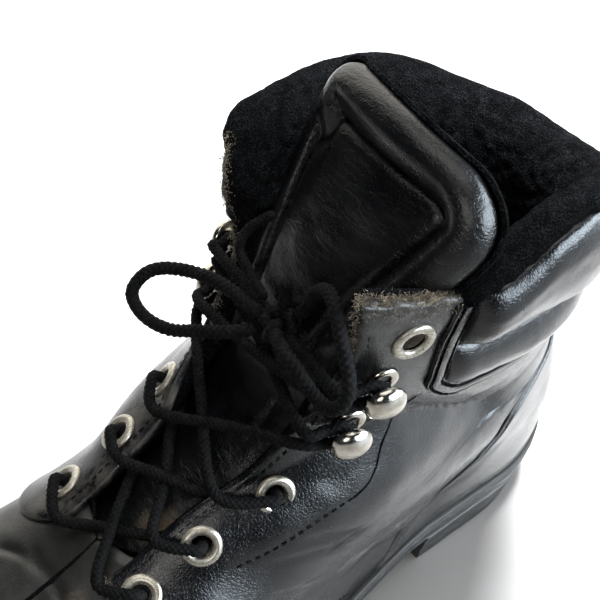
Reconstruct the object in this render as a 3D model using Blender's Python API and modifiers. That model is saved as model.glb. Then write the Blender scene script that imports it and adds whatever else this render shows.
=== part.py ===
"""Lace-up leather work boot, left foot, as an assembly of its made pieces.

Metres, +Z up, toe towards +X, lateral side towards +Y. The origin is under the middle of the boot,
on the floor. Distances named x below run forward from the heel's feather edge.
"""

import math

import bmesh
import bpy
from mathutils import Matrix, Vector

# Frame: where the heel's feather edge and the last's axis lie
HEEL_X = -0.14665
AXIS_Y = 0.0

# Thicknesses and clearances
WALL = 0.0020
GAP = 0.0003
PANEL_GAP = 0.0012
QUARTER = 0.0014
COUNTER = 0.0019
SEAM_GAP = 0.0006
OUTSOLE = 0.0075
MIDSOLE = 0.0050
HEEL_BLOCK = 0.0165
INSOLE = 0.0032
INSOLE_GAP = 0.0005

# Sole
WELT_REACH = 0.0068
# How far the outsole, heel and insole stand back from the welt's edge or the feather edge, top and bottom
OUTSOLE_SETBACK = (0.0006, 0.0016)
HEEL_SETBACK = (0.0016, 0.0040)
INSOLE_SETBACK = 0.0008
HEEL_BREAST = 0.076
LUG_DEPTH = 0.0026
LUG_GAP = 0.0030
FOREFOOT_GROOVES = (0.150, 0.164, 0.178, 0.192, 0.206, 0.220, 0.234, 0.248, 0.262)
HEEL_GROOVES = (0.018, 0.034, 0.050)
FOREFOOT_GROOVE_WIDTH = 0.130
HEEL_GROOVE_WIDTH = 0.048

# Fittings
EYELET_RADIUS = 0.0055
BARREL_RADIUS = 0.0031
BORE_RADIUS = 0.0025
FLANGE_RISE = 0.0013
HOLE_GAP = 0.0004
HOLE_DEPTH = 0.012
HOOK_RADIUS = 0.0060
HOOK_LEAN = 0.0016
HOOK_DISC = (0.0046, 0.0042, 0.0014)
HOOK_NECK = (0.0019, 0.0056)
HOOK_NECK_AT = (0.0028, 0.0, 0.0038)
HOOK_HEAD_RISE = 0.0072
HOOK_FLATNESS = 0.50
CORD = 0.0042
SEAT_GAP = 0.0008

# Upper grid
COLUMNS = 36
THROAT_LEVEL = 6.35
SEAM_LEVEL = 9.5
EAR_TOP = 12.9
# The wall stands upright over the first part of the lowest level, a little above the midsole
UPRIGHT_LEVEL = 0.2
SEAT_RISE = 0.0008

# Plan of the foot along the last: sideways shift of its middle, lateral and medial half widths
FOOT_COLUMNS = ("x", "middle", "lateral", "medial")
FOOT = (
    (0.000, -0.0035, 0.0262, 0.0262),
    (0.040, -0.0035, 0.0268, 0.0270),
    (0.075, -0.0035, 0.0275, 0.0262),
    (0.110, -0.0030, 0.0300, 0.0260),
    (0.150, -0.0015, 0.0362, 0.0330),
    (0.190, 0.0000, 0.0430, 0.0415),
    (0.215, 0.0000, 0.0450, 0.0450),
    (0.290, 0.0000, 0.0430, 0.0470),
)

# Underside of the outsole: heel seat, waist, flat forefoot and toe spring
GROUND = ((-0.010, HEEL_BLOCK), (0.080, HEEL_BLOCK), (0.120, 0.0080), (0.162, 0.0), (0.232, 0.0),
          (0.264, 0.0024), (0.296, 0.0090))

# Loops round the last, from the feather edge up to the rim. ankle blends the foot's own widths into
# the shaft's half widths, nose and heel are the lengths of the rounded ends, and dip lowers the back.
LEVEL_COLUMNS = ("front_x", "front_z", "back_x", "back_z", "ankle", "lateral", "medial",
                 "swell", "nose", "blunt", "heel", "dip")
LEVELS = (
    ("feather", 0.2860, 0.0215, 0.0075, 0.0296, 0.00, 0.030, 0.030, 1.00, 0.085, 2.30, 0.038, 1.0),
    ("toe_wall", 0.2885, 0.0330, 0.0050, 0.0420, 0.00, 0.030, 0.030, 1.03, 0.085, 2.30, 0.039, 1.0),
    ("toe_crown", 0.2820, 0.0440, 0.0045, 0.0530, 0.00, 0.030, 0.030, 1.04, 0.086, 2.25, 0.040, 1.0),
    ("toe_top", 0.2690, 0.0535, 0.0060, 0.0635, 0.08, 0.030, 0.030, 1.03, 0.088, 2.20, 0.042, 1.0),
    ("vamp_low", 0.2480, 0.0605, 0.0090, 0.0735, 0.20, 0.030, 0.030, 1.00, 0.090, 2.20, 0.044, 1.0),
    ("vamp", 0.2240, 0.0675, 0.0130, 0.0830, 0.35, 0.030, 0.032, 0.98, 0.090, 2.25, 0.046, 1.0),
    ("throat", 0.1980, 0.0775, 0.0170, 0.0915, 0.55, 0.030, 0.036, 0.97, 0.088, 2.40, 0.047, 1.2),
    ("instep", 0.1785, 0.0910, 0.0205, 0.0995, 0.75, 0.031, 0.040, 0.98, 0.086, 2.45, 0.048, 1.6),
    ("ankle", 0.1620, 0.1030, 0.0235, 0.1070, 0.90, 0.032, 0.036, 0.98, 0.086, 2.45, 0.049, 2.2),
    ("bend", 0.1550, 0.1175, 0.0255, 0.1145, 1.00, 0.033, 0.0295, 1.00, 0.086, 2.40, 0.050, 2.8),
    ("shaft", 0.1540, 0.1335, 0.0265, 0.1225, 1.00, 0.035, 0.031, 1.00, 0.088, 2.40, 0.050, 3.4),
    ("collar_seam", 0.1540, 0.1460, 0.0270, 0.1290, 1.00, 0.0365, 0.0345, 1.00, 0.090, 2.40, 0.050, 3.8),
    ("collar", 0.1545, 0.1600, 0.0265, 0.1375, 1.00, 0.0375, 0.0390, 1.00, 0.091, 2.40, 0.050, 4.2),
    ("rim", 0.1550, 0.1735, 0.0250, 0.1465, 1.00, 0.0385, 0.0425, 1.00, 0.092, 2.40, 0.050, 4.6),
)
TOP_LEVEL = len(LEVELS) - 1

# Rise of the rim above its even loop, by turn, coming in over the levels of the collar: the lateral
# side dips where the ear meets the collar and climbs from there to the back
RIM_LIFT = ((0.0, 0.0), (0.185, 0.0), (0.208, -0.0070), (0.218, -0.0078), (0.232, -0.0064), (0.250, -0.0022),
            (0.270, 0.0035), (0.300, 0.0080), (0.340, 0.0092), (0.400, 0.0080), (0.500, 0.0068),
            (0.545, 0.0062), (0.585, 0.0024), (0.620, 0.0), (1.0, 0.0))
RIM_LIFT_LEVELS = (10.8, 13.0)

# Throat: half gap between the quarters' edges, by level, for the lateral and the medial quarter
EDGE = {
    1: ((5.4, 0.0100), (6.0, 0.0108), (7.0, 0.0125), (8.0, 0.0160), (9.0, 0.0190), (10.0, 0.0225),
        (11.0, 0.0259), (12.0, 0.0270), (13.0, 0.0272)),
    -1: ((5.4, 0.0110), (6.0, 0.0108), (7.0, 0.0095), (8.0, 0.0105), (8.5, 0.0145), (9.0, 0.0185),
         (10.0, 0.0240), (11.0, 0.0275), (12.0, 0.0303), (12.6, 0.0326), (13.0, 0.0346)),
}
# Lacing rows up each quarter: kind of fitting, then level on the last and half gap on each side
ROW_COLUMNS = ("kind", "lateral_level", "lateral_gap", "medial_level", "medial_gap")
ROWS = (
    ("eyelet", 5.90, 0.0192, 6.00, 0.0207),
    ("eyelet", 6.74, 0.0198, 7.10, 0.0180),
    ("eyelet", 7.57, 0.0227, 8.00, 0.0195),
    ("hook", 9.40, 0.0260, 9.30, 0.0243),
    ("hook", 10.55, 0.0292, 10.15, 0.0270),
    ("eyelet", 11.55, 0.0318, 11.70, 0.0329),
)
SIDES = (("lateral", 1), ("medial", -1))

# Seams as distances x at each level
COUNTER_TOP = 7.1
COUNTER_LEVELS = (0.0, 0.6, 1.2, 1.9, 2.6, 3.4, 4.2, 4.6, 5.0, 5.35, 5.7, 6.0, THROAT_LEVEL, 6.6, 6.85,
                  COUNTER_TOP)
ANKLE_LEVELS = (7.7, 8.3, 8.6, 8.9)
EAR_LEVELS = (10.0, 10.9, 11.6, EAR_TOP)
COUNTER_SEAM = ((0.0, 0.106), (1.4, 0.0955), (3.2, 0.0780), (4.2, 0.0650), (6.0, 0.039), (6.7, 0.029),
                (7.1, 0.023))
VAMP_SEAM = ((0.0, 0.124), (1.0, 0.139), (2.0, 0.155), (3.0, 0.172), (4.2, 0.193))
TAB_LEVEL = 4.2
TAB_END = 6.0
COLLAR_SEAM = ((9.0, 0.109), (10.9, 0.110), (13.0, 0.106))

LEATHER = (0.012, 0.013, 0.015)
FLEECE = (0.010, 0.010, 0.011)
RUBBER = (0.022, 0.024, 0.026)
WELT = (0.035, 0.030, 0.024)
CLOTH = (0.006, 0.006, 0.006)
NICKEL = (0.74, 0.70, 0.62)


def curve_at(table, x, column=1):
    """Monotone cubic through a table's rows, read at x from the named column's place."""
    rows = [(row[0], row[column]) for row in table]
    if x <= rows[0][0]:
        return rows[0][1]
    if x >= rows[-1][0]:
        return rows[-1][1]
    last = len(rows) - 1
    i = max(k for k in range(last) if rows[k][0] <= x)
    step = rows[i + 1][0] - rows[i][0]
    slope = [(rows[k + 1][1] - rows[k][1]) / (rows[k + 1][0] - rows[k][0]) for k in range(last)]

    def tangent(k):
        if k in (0, last):
            return slope[min(k, last - 1)]
        before, after = slope[k - 1], slope[k]
        return 0.0 if before * after <= 0 else 2 * before * after / (before + after)

    t = (x - rows[i][0]) / step
    start, end = rows[i][1], rows[i + 1][1]
    return ((2 * t**3 - 3 * t**2 + 1) * start + (t**3 - 2 * t**2 + t) * step * tangent(i)
            + (3 * t**2 - 2 * t**3) * end + (t**3 - t**2) * step * tangent(i + 1))


def level_size(column, level):
    place = LEVEL_COLUMNS.index(column) + 1
    table = [(k, row[place]) for k, row in enumerate(LEVELS)]
    return curve_at(table, level)


def ground(x):
    return curve_at(GROUND, x)


def feather_z(x):
    return ground(x) + OUTSOLE + MIDSOLE + 2 * GAP


class Loop:
    """One loop round the last, at a level that may lie between two rows of the table."""

    kept = {}

    def __init__(self, level):
        plan_level = max(level, UPRIGHT_LEVEL)
        for column in LEVEL_COLUMNS:
            setattr(self, column, level_size(column, plan_level))
        up = min(level / UPRIGHT_LEVEL, 1.0)
        self.rise_front = mixed(SEAT_RISE, self.front_z - feather_z(self.front_x), up)
        self.rise_back = mixed(SEAT_RISE, self.back_z - feather_z(self.back_x), up)
        start, end = RIM_LIFT_LEVELS
        share = max(0.0, min(1.0, (level - start) / (end - start)))
        self.rim_share = share * share * (3 - 2 * share)

    @classmethod
    def at(cls, level):
        key = round(level, 6)
        if key not in cls.kept:
            cls.kept[key] = cls(key)
        return cls.kept[key]

    def half_width(self, x, side):
        foot = curve_at(FOOT, x, FOOT_COLUMNS.index("lateral" if side > 0 else "medial")) * self.swell
        wide = foot + (getattr(self, "lateral" if side > 0 else "medial") - foot) * self.ankle
        ahead = (x - (self.front_x - self.nose)) / self.nose
        behind = (self.back_x + self.heel - x) / self.heel
        for reach, power in ((ahead, self.blunt), (behind, 2.1)):
            if reach > 0:
                wide *= max(0.0, 1 - min(reach, 1.0) ** power) ** (1 / power)
        return wide

    def point(self, turn):
        """turn 0 is the front, 0.25 the lateral side, 0.5 the back and 0.75 the medial side."""
        angle = 2 * math.pi * turn
        along = (1 + math.cos(angle)) / 2
        x = self.back_x + (self.front_x - self.back_x) * along
        side = 1 if math.sin(angle) >= 0 else -1
        lift = 1 - (1 - along) ** self.dip
        on_sole = feather_z(x) + mixed(self.rise_back, self.rise_front, lift)
        z = mixed(on_sole, mixed(self.back_z, self.front_z, lift), self.ankle)
        z += curve_at(RIM_LIFT, turn % 1.0) * self.rim_share
        middle = AXIS_Y + curve_at(FOOT, x, FOOT_COLUMNS.index("middle")) * (1 - self.ankle)
        return Vector((HEEL_X + x, middle + side * self.half_width(x, side), z))


def last_point(level, turn, offset=0.0):
    """A point of the last's surface, moved out along the surface's normal."""
    over = max(0.0, level - TOP_LEVEL)
    level = min(level, TOP_LEVEL)
    here = Loop.at(level).point(turn)
    if offset == 0.0 and over == 0.0:
        return here
    step_turn, step_level = 0.006, 0.08
    low, high = max(0.0, level - step_level), min(TOP_LEVEL, level + step_level)
    up = Loop.at(high).point(turn) - Loop.at(low).point(turn)
    around = Loop.at(level).point(turn + step_turn) - Loop.at(level).point(turn - step_turn)
    normal = around.cross(up).normalized()
    return here + normal * offset + up / (high - low) * over


def last_normal(level, turn):
    return (last_point(level, turn, 0.001) - last_point(level, turn)).normalized()


def turn_at_x(level, x, side):
    loop = Loop.at(level)
    along = (x - loop.back_x) / (loop.front_x - loop.back_x)
    turn = math.acos(max(-1.0, min(1.0, 2 * along - 1))) / (2 * math.pi)
    return turn if side > 0 else 1 - turn


def turn_at_gap(level, gap, side):
    """The turn near the front where the loop stands gap away from the last's axis."""
    near, far = 0.0, 0.25
    for _ in range(30):
        middle = (near + far) / 2
        turn = middle if side > 0 else 1 - middle
        reach = abs(Loop.at(level).point(turn).y - AXIS_Y)
        near, far = (middle, far) if reach < gap else (near, middle)
    return near if side > 0 else 1 - near


def mixed(start, end, share):
    return start + (end - start) * share


def material(name, colour, roughness, metallic=0.0):
    made = bpy.data.materials.get(name) or bpy.data.materials.new(name)
    made.use_nodes = True
    shader = made.node_tree.nodes["Principled BSDF"]
    shader.inputs["Base Color"].default_value = (*colour, 1.0)
    shader.inputs["Roughness"].default_value = roughness
    shader.inputs["Metallic"].default_value = metallic
    return made


def add_object(name, mesh, finish, group):
    made = bpy.data.objects.new(name, mesh)
    group.objects.link(made)
    if finish is not None:
        mesh.materials.append(finish)
    mesh.shade_smooth()
    mesh.set_sharp_from_angle(angle=math.radians(40))
    return made


def mesh_of_rows(name, rows):
    """A surface through rows of points. Rows may differ in length: the shorter one ends first."""
    bm = bmesh.new()
    corners = [[bm.verts.new(point) for point in row] for row in rows]
    for low, high in zip(corners, corners[1:]):
        for k in range(min(len(low), len(high)) - 1):
            bm.faces.new((low[k], low[k + 1], high[k + 1], high[k]))
    bmesh.ops.remove_doubles(bm, verts=bm.verts, dist=1e-5)
    bmesh.ops.dissolve_degenerate(bm, dist=1e-5, edges=bm.edges)
    loose = [vert for vert in bm.verts if not vert.link_faces]
    bmesh.ops.delete(bm, geom=loose, context="VERTS")
    mesh = bpy.data.meshes.new(name)
    bm.to_mesh(mesh)
    bm.free()
    return mesh


def lofted(name, sections, finish, group):
    """A closed solid through closed sections of equal length, capped at both ends."""
    bm = bmesh.new()
    rings = [[bm.verts.new(point) for point in section] for section in sections]
    for low, high in zip(rings, rings[1:]):
        count = len(low)
        for k in range(count):
            bm.faces.new((low[k], low[(k + 1) % count], high[(k + 1) % count], high[k]))
    bm.faces.new(rings[0])
    bm.faces.new(rings[-1])
    bmesh.ops.remove_doubles(bm, verts=bm.verts, dist=1e-5)
    bmesh.ops.recalc_face_normals(bm, faces=bm.faces)
    mesh = bpy.data.meshes.new(name)
    bm.to_mesh(mesh)
    bm.free()
    return add_object(name, mesh, finish, group)


def shell(name, rows, thickness, finish, group):
    """An open surface through the rows, thickened outwards."""
    made = add_object(name, mesh_of_rows(name, rows), finish, group)
    wall = made.modifiers.new("wall", "SOLIDIFY")
    wall.thickness = thickness
    wall.offset = 1.0
    wall.use_quality_normals = True
    return made


def cut(target, cutter):
    boolean = target.modifiers.new("cut", "BOOLEAN")
    boolean.operation = "DIFFERENCE"
    boolean.object = cutter


def edge_turn(level, side):
    return turn_at_gap(level, curve_at(EDGE[side], level), side)


def front_turn(level, side):
    """Front edge of a quarter: the seam on the vamp, then the tab's slanted end, then the throat."""
    if level >= TAB_END:
        return edge_turn(level, side)
    if level <= TAB_LEVEL:
        return turn_at_x(level, curve_at(VAMP_SEAM, level), side)
    start = turn_at_x(TAB_LEVEL, curve_at(VAMP_SEAM, TAB_LEVEL), side)
    return mixed(start, edge_turn(TAB_END, side), (level - TAB_LEVEL) / (TAB_END - TAB_LEVEL))


# Upper


def build_upper(finish, group):
    """The lasted wall: closed over the vamp, open at the throat, the rim and underneath."""
    u_level = THROAT_LEVEL + 0.12
    levels = (0.0, 0.6, 1.2, 1.9, 2.6, 3.4, 4.2, 5.0, 5.7, THROAT_LEVEL, u_level, 6.85, COUNTER_TOP,
              *ANKLE_LEVELS, SEAM_LEVEL, *EAR_LEVELS, TOP_LEVEL)
    rows = []
    for level in levels:
        ends = []
        for _, side in SIDES:
            middle = 0.0 if side > 0 else 1.0
            if level <= THROAT_LEVEL:
                ends.append(middle)
            else:
                share = 0.65 if level == u_level else 1.0
                ends.append(turn_at_gap(level, share * curve_at(EDGE[side], level), side))
        rows.append([last_point(level, mixed(*ends, k / COLUMNS)) for k in range(COLUMNS + 1)])
    return shell("upper", rows, WALL, finish, group)


def build_quarter(name, side, finish, group):
    """One quarter over the vamp: its facing runs up the throat and ends in an ear above the collar seam."""
    ear_columns, body_columns = 4, 8
    under = SEAM_LEVEL - 0.06
    rows = []
    for level in (*COUNTER_LEVELS, COUNTER_TOP + 0.15, *ANKLE_LEVELS, under, *EAR_LEVELS):
        front = front_turn(level, side)
        if level <= COUNTER_TOP:
            back = turn_at_x(level, curve_at(COUNTER_SEAM, level) + SEAM_GAP, side)
        else:
            back = 0.5 - side * 0.0012
        share = (level / under) ** 0.5
        facing_x = curve_at(COLLAR_SEAM, level) + SEAM_GAP
        facing = turn_at_x(level, facing_x, side) if level >= under else None
        if facing is None:
            goal = turn_at_x(under, curve_at(COLLAR_SEAM, under) + SEAM_GAP, side)
            low, high = sorted((mixed(front, back, 0.28), mixed(front, back, 0.42)))
            facing = min(max(mixed(mixed(front, back, 0.35), goal, share), low), high)
        height = WALL + PANEL_GAP
        row = [last_point(level, mixed(front, facing, k / ear_columns), height)
               for k in range(ear_columns + 1)]
        if level <= under:
            row += [last_point(level, mixed(facing, back, k / body_columns), height)
                    for k in range(1, body_columns + 1)]
        rows.append(row)
    made = shell(name, rows, QUARTER, finish, group)
    if side < 0:
        made.data.flip_normals()
    return made


def build_counter(finish, group):
    """The heel counter: its front seam sweeps up and back to a blunt top on the back seam."""
    columns = 22
    rows = []
    for level in (0.0, 1.2, 2.6, 4.2, 5.35, 6.0, THROAT_LEVEL, 6.6, 6.85, COUNTER_TOP):
        seam = curve_at(COUNTER_SEAM, level) - SEAM_GAP
        first, final = (turn_at_x(level, seam, side) for _, side in SIDES)
        rows.append([last_point(level, mixed(first, final, k / columns), WALL + PANEL_GAP)
                     for k in range(columns + 1)])
    return shell("counter", rows, COUNTER, finish, group)


# Padded collar: section through the two rolls, as distance out from the last and level up it
COLLAR_SECTION_COLUMNS = ("out", "level")
COLLAR_SECTION = (
    (0.0025, SEAM_LEVEL + 0.04), (0.0025, 10.0), (0.0025, 10.9), (0.0025, 11.6), (0.0025, EAR_TOP),
    (0.0025, 13.0), (0.0028, 13.08), (0.0044, 13.20), (0.0064, 13.10), (0.0082, 12.75), (0.0090, 12.15),
    (0.0088, 11.55), (0.0074, 11.00), (0.0052, 10.76), (0.0070, 10.60), (0.0078, 10.25), (0.0068, 9.85),
    (0.0044, SEAM_LEVEL + 0.04),
)


def build_collar(finish, group):
    columns = 26
    sections = []
    for k in range(columns + 1):
        section = []
        for out, level in COLLAR_SECTION:
            seam_level = min(level, TOP_LEVEL)
            seam = curve_at(COLLAR_SEAM, seam_level) - SEAM_GAP
            first, final = (turn_at_x(seam_level, seam, side) for _, side in SIDES)
            section.append(last_point(level, mixed(first, final, k / columns), out))
        sections.append(section)
    return lofted("collar", sections, finish, group)


# Tongue: outer face along the middle, half width, curve across and depth, from the vamp to the lip
TONGUE_COLUMNS = ("x", "z", "shift", "half_width", "across_radius", "roll")
TONGUE = (
    (0.2020, 0.0728, 0.0000, 0.0165, 0.030, 0.0000),
    (0.1880, 0.0810, 0.0000, 0.0185, 0.028, 0.0000),
    (0.1740, 0.0895, 0.0005, 0.0200, 0.028, 0.0000),
    (0.1600, 0.0980, 0.0005, 0.0210, 0.030, 0.0000),
    (0.1470, 0.1085, 0.0005, 0.0215, 0.034, 0.0006),
    (0.1385, 0.1215, 0.0005, 0.0220, 0.040, 0.0014),
    (0.1310, 0.1365, 0.0010, 0.0230, 0.050, 0.0024),
    (0.1245, 0.1515, 0.0015, 0.0255, 0.060, 0.0032),
    (0.1175, 0.1665, 0.0025, 0.0290, 0.070, 0.0034),
    (0.1100, 0.1800, 0.0030, 0.0315, 0.080, 0.0034),
    (0.1055, 0.1880, 0.0030, 0.0305, 0.080, 0.0034),
    (0.1025, 0.1925, 0.0030, 0.0275, 0.080, 0.0034),
)
TONGUE_DEPTH = 0.0042
TONGUE_ROLL = 0.0095


def tongue_section(k):
    x, z, shift, half_width, radius, roll = TONGUE[k]
    before, after = TONGUE[max(k - 1, 0)], TONGUE[min(k + 1, len(TONGUE) - 1)]
    run = Vector((after[0] - before[0], 0.0, after[1] - before[1])).normalized()
    normal = Vector((run.z, 0.0, -run.x))
    lip = max(0, k - (len(TONGUE) - 3))
    shares = (-1.0, -0.93, -0.82, -0.70, -0.36, 0.0, 0.36, 0.70, 0.82, 0.93, 1.0)

    def place(across, out):
        sag = across**2 / (2 * radius)
        return Vector((HEEL_X + x, AXIS_Y + shift + across, z)) + normal * (out - sag)

    front, back = [], []
    for share in shares:
        across = share * half_width
        edge = max(0.0, 1 - (half_width - abs(across)) / TONGUE_ROLL)
        bump = roll * (math.sin(math.pi * min(edge, 1.0) ** 0.8) if edge < 1 else 0.0)
        if lip:
            bump = max(bump, roll * (1.0, 0.75)[lip - 1])
        thin = TONGUE_DEPTH * (0.5 if abs(share) == 1.0 else 1.0)
        middle = -0.5 * TONGUE_DEPTH
        front.append(place(across, middle + 0.5 * thin + bump))
        back.append(place(across, middle - 0.5 * thin))
    return front + back[::-1]


def build_tongue(finish, group):
    sections = [tongue_section(k) for k in range(len(TONGUE))]
    return lofted("tongue", sections, finish, group)


# Sole


def outline(margin, count=160):
    """The feather edge moved out sideways by margin, as points round the plan."""
    loop = Loop.at(0.0)
    points = []
    for k in range(count):
        turn = k / count
        around = loop.point(turn + 0.004) - loop.point(turn - 0.004)
        normal = Vector((around.y, -around.x, 0.0)).normalized()
        points.append(loop.point(turn) + normal * margin)
    return points


def edge_sampler(margin):
    """A function that gives the lateral and medial edges of the plan at a share of its length."""
    points = outline(margin)
    back, front = min(p.x for p in points), max(p.x for p in points)
    tips = [min(points, key=lambda p: p.x), max(points, key=lambda p: p.x)]

    def reach(x, side):
        row = sorted(((p.x, p.y) for p in points if (p.y - AXIS_Y) * side >= 0 or p in tips))
        for (x0, y0), (x1, y1) in zip(row, row[1:]):
            if x0 <= x <= x1 and x1 > x0:
                return mixed(y0, y1, (x - x0) / (x1 - x0))
        return tips[0].y if x <= back else tips[1].y

    def sample(share):
        x = mixed(back, front, share)
        return x, reach(x, 1), reach(x, -1)

    sample.back, sample.front = back, front
    return sample


def slab(name, margins, z_top, z_bottom, shares, finish, group):
    """A sole layer: margins widen its top and bottom plans, and its faces follow the sole's curve."""
    top, bottom = (edge_sampler(margin) for margin in margins)
    sections = []
    for share in shares:
        section = []
        for sample, height, order in ((top, z_top, (1, 0)), (bottom, z_bottom, (0, 1))):
            x, lateral, medial = sample(share)
            pair = [Vector((x, y, height(x - HEEL_X))) for y in (lateral, medial)]
            middle = (pair[0] + pair[1]) / 2
            ends = [pair[order[0]], middle, pair[order[1]]]
            section += ends
        sections.append(section)
    return lofted(name, sections, finish, group)


def length_shares(count, end=1.0):
    """Shares of the length, closer together towards rounded ends."""
    if end == 1.0:
        return [(1 - math.cos(math.pi * k / count)) / 2 for k in range(count + 1)]
    return [end * (1 - math.cos(math.pi / 2 * k / count)) for k in range(count + 1)]


def add_grooves(name, places, width, cutters):
    """Cutters across the tread, each lying on the sole's own curve."""
    bm = bmesh.new()
    for x in places:
        size = Matrix.Diagonal((LUG_GAP, width, 2 * LUG_DEPTH, 1.0))
        floor = ground(x) if name == "forefoot_grooves" else 0.0
        bmesh.ops.create_cube(bm, size=1.0, matrix=Matrix.Translation((HEEL_X + x, AXIS_Y, floor)) @ size)
    mesh = bpy.data.meshes.new(name)
    bm.to_mesh(mesh)
    bm.free()
    made = bpy.data.objects.new(name, mesh)
    made.hide_render = True
    made.display_type = "WIRE"
    cutters.objects.link(made)
    return made


def build_sole(finishes, group, cutters):
    def outsole_top(x):
        return ground(x) + OUTSOLE

    def midsole_top(x):
        return ground(x) + OUTSOLE + GAP + MIDSOLE

    shares = length_shares(30)
    outsole = slab("outsole", [WELT_REACH - back for back in OUTSOLE_SETBACK], outsole_top, ground, shares,
                   finishes["rubber"], group)
    cut(outsole, add_grooves("forefoot_grooves", FOREFOOT_GROOVES, FOREFOOT_GROOVE_WIDTH, cutters))
    slab("midsole", (WELT_REACH, WELT_REACH), midsole_top, lambda x: ground(x) + OUTSOLE + GAP, shares,
         finishes["welt"], group)
    slab("insole", (-INSOLE_SETBACK, -INSOLE_SETBACK), lambda x: midsole_top(x) + INSOLE_GAP + INSOLE,
         lambda x: midsole_top(x) + INSOLE_GAP, shares, finishes["fleece"], group)
    sampler = edge_sampler(WELT_REACH)
    breast = (HEEL_X + HEEL_BREAST - sampler.back) / (sampler.front - sampler.back)
    heel = slab("heel", [WELT_REACH - back for back in HEEL_SETBACK], lambda x: HEEL_BLOCK - GAP,
                lambda x: 0.0, length_shares(14, breast), finishes["rubber"], group)
    cut(heel, add_grooves("heel_grooves", HEEL_GROOVES, HEEL_GROOVE_WIDTH, cutters))


# Fittings


def fitting_places():
    """Kind, name, seat on the quarter's face, normal and the way up the facing, for each fitting."""
    places = []
    for number, row in enumerate(ROWS, 1):
        kind = row[0]
        for side_name, side in SIDES:
            level = row[ROW_COLUMNS.index(f"{side_name}_level")]
            gap = row[ROW_COLUMNS.index(f"{side_name}_gap")]
            turn = turn_at_gap(level, gap, side)
            seat = last_point(level, turn, WALL + PANEL_GAP + QUARTER)
            normal = last_normal(level, turn)
            inward = last_point(level, turn_at_gap(level, gap - 0.004, side)) - last_point(level, turn)
            places.append((kind, f"{kind}_{side_name}_{number}", seat, normal, inward.normalized()))
    return places


def seat_matrix(seat, normal, inward):
    across = normal.cross(inward).normalized()
    inward = across.cross(normal).normalized()
    frame = Matrix((inward, across, normal)).transposed().to_4x4()
    return Matrix.Translation(seat) @ frame


def build_eyelet(name, seat, normal, inward, finish, group):
    """A turned ring: rolled flange outside and a short barrel through the leather."""
    through = -(QUARTER + PANEL_GAP + WALL)
    rise = SEAT_GAP
    profile = ((BORE_RADIUS, rise + 0.6 * FLANGE_RISE), (BORE_RADIUS + 0.0008, rise + FLANGE_RISE),
               (0.8 * EYELET_RADIUS, rise + 0.95 * FLANGE_RISE), (EYELET_RADIUS, rise + 0.5 * FLANGE_RISE),
               (EYELET_RADIUS, rise), (BARREL_RADIUS, rise), (BARREL_RADIUS, through), (BORE_RADIUS, through))
    bm = bmesh.new()
    corners = [bm.verts.new((radius, 0.0, height)) for radius, height in profile]
    for start, end in zip(corners, corners[1:] + corners[:1]):
        bm.edges.new((start, end))
    mesh = bpy.data.meshes.new(name)
    bm.to_mesh(mesh)
    bm.free()
    made = add_object(name, mesh, finish, group)
    made.matrix_world = seat_matrix(seat, normal, inward)
    turned = made.modifiers.new("turned", "SCREW")
    turned.steps = turned.render_steps = 10
    turned.use_merge_vertices = True
    turned.merge_threshold = 0.0001
    turned.use_normal_calculate = True
    return made


def primitive(mesh_maker, matrix, **sizes):
    bm = bmesh.new()
    mesh_maker(bm, matrix=matrix, **sizes)
    mesh = bpy.data.meshes.new("primitive")
    bm.to_mesh(mesh)
    bm.free()
    return mesh


def union_of(name, meshes, finish, group, cutters):
    """One body from overlapping meshes."""
    made = add_object(name, meshes[0], finish, group)
    for number, mesh in enumerate(meshes[1:], 1):
        other = bpy.data.objects.new(f"{name}_join_{number}", mesh)
        other.hide_render = True
        other.display_type = "WIRE"
        cutters.objects.link(other)
        boolean = made.modifiers.new("join", "BOOLEAN")
        boolean.operation = "UNION"
        boolean.object = other
    return made


def build_hook(name, seat, normal, inward, finish, group, cutters):
    """A lace hook: a riveted disc, a neck on the throat side and a domed head over the cord."""
    place = seat_matrix(seat, normal, inward)
    wide, narrow, thick = HOOK_DISC
    disc = primitive(bmesh.ops.create_cone, place @ Matrix.Translation((0, 0, SEAT_GAP + thick / 2)),
                     cap_ends=True, segments=12, radius1=wide, radius2=narrow, depth=thick)
    neck_radius, neck_height = HOOK_NECK
    neck = primitive(bmesh.ops.create_cone, place @ Matrix.Translation(HOOK_NECK_AT), cap_ends=True,
                     segments=8, radius1=neck_radius, radius2=neck_radius, depth=neck_height)
    dome = (place @ Matrix.Translation((HOOK_LEAN, 0, HOOK_HEAD_RISE))
            @ Matrix.Diagonal((1.0, 1.0, HOOK_FLATNESS, 1.0)))
    head = primitive(bmesh.ops.create_uvsphere, dome, u_segments=12, v_segments=6, radius=HOOK_RADIUS)
    return union_of(name, [disc, neck, head], finish, group, cutters)


def build_holes(places, cutters):
    bm = bmesh.new()
    for kind, _, seat, normal, inward in places:
        if kind == "eyelet":
            bmesh.ops.create_cone(bm, cap_ends=True, segments=12, radius1=BARREL_RADIUS + HOLE_GAP,
                                  radius2=BARREL_RADIUS + HOLE_GAP, depth=HOLE_DEPTH,
                                  matrix=seat_matrix(seat, normal, inward))
    mesh = bpy.data.meshes.new("eyelet_holes")
    bm.to_mesh(mesh)
    bm.free()
    made = bpy.data.objects.new("eyelet_holes", mesh)
    made.hide_render = True
    made.display_type = "WIRE"
    cutters.objects.link(made)
    return made


# Lace. Each crossing is two runs from the fitting a cord leaves to the one it goes to
LACE_RUNS = (
    (("lateral", 1, "medial", 2), ("medial", 1, "lateral", 2)),
    (("lateral", 2, "medial", 3), ("medial", 2, "lateral", 3)),
    (("lateral", 3, "medial", 4), ("medial", 3, "lateral", 4)),
    (("lateral", 4, "medial", 5), ("medial", 4, "lateral", 5)),
)
KNOT = (0.1365, 0.0036, 0.1404)
KNOT_SIZE = (0.0068, 0.0078, 0.0062)
KNOT_GAP = 0.0005
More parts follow.
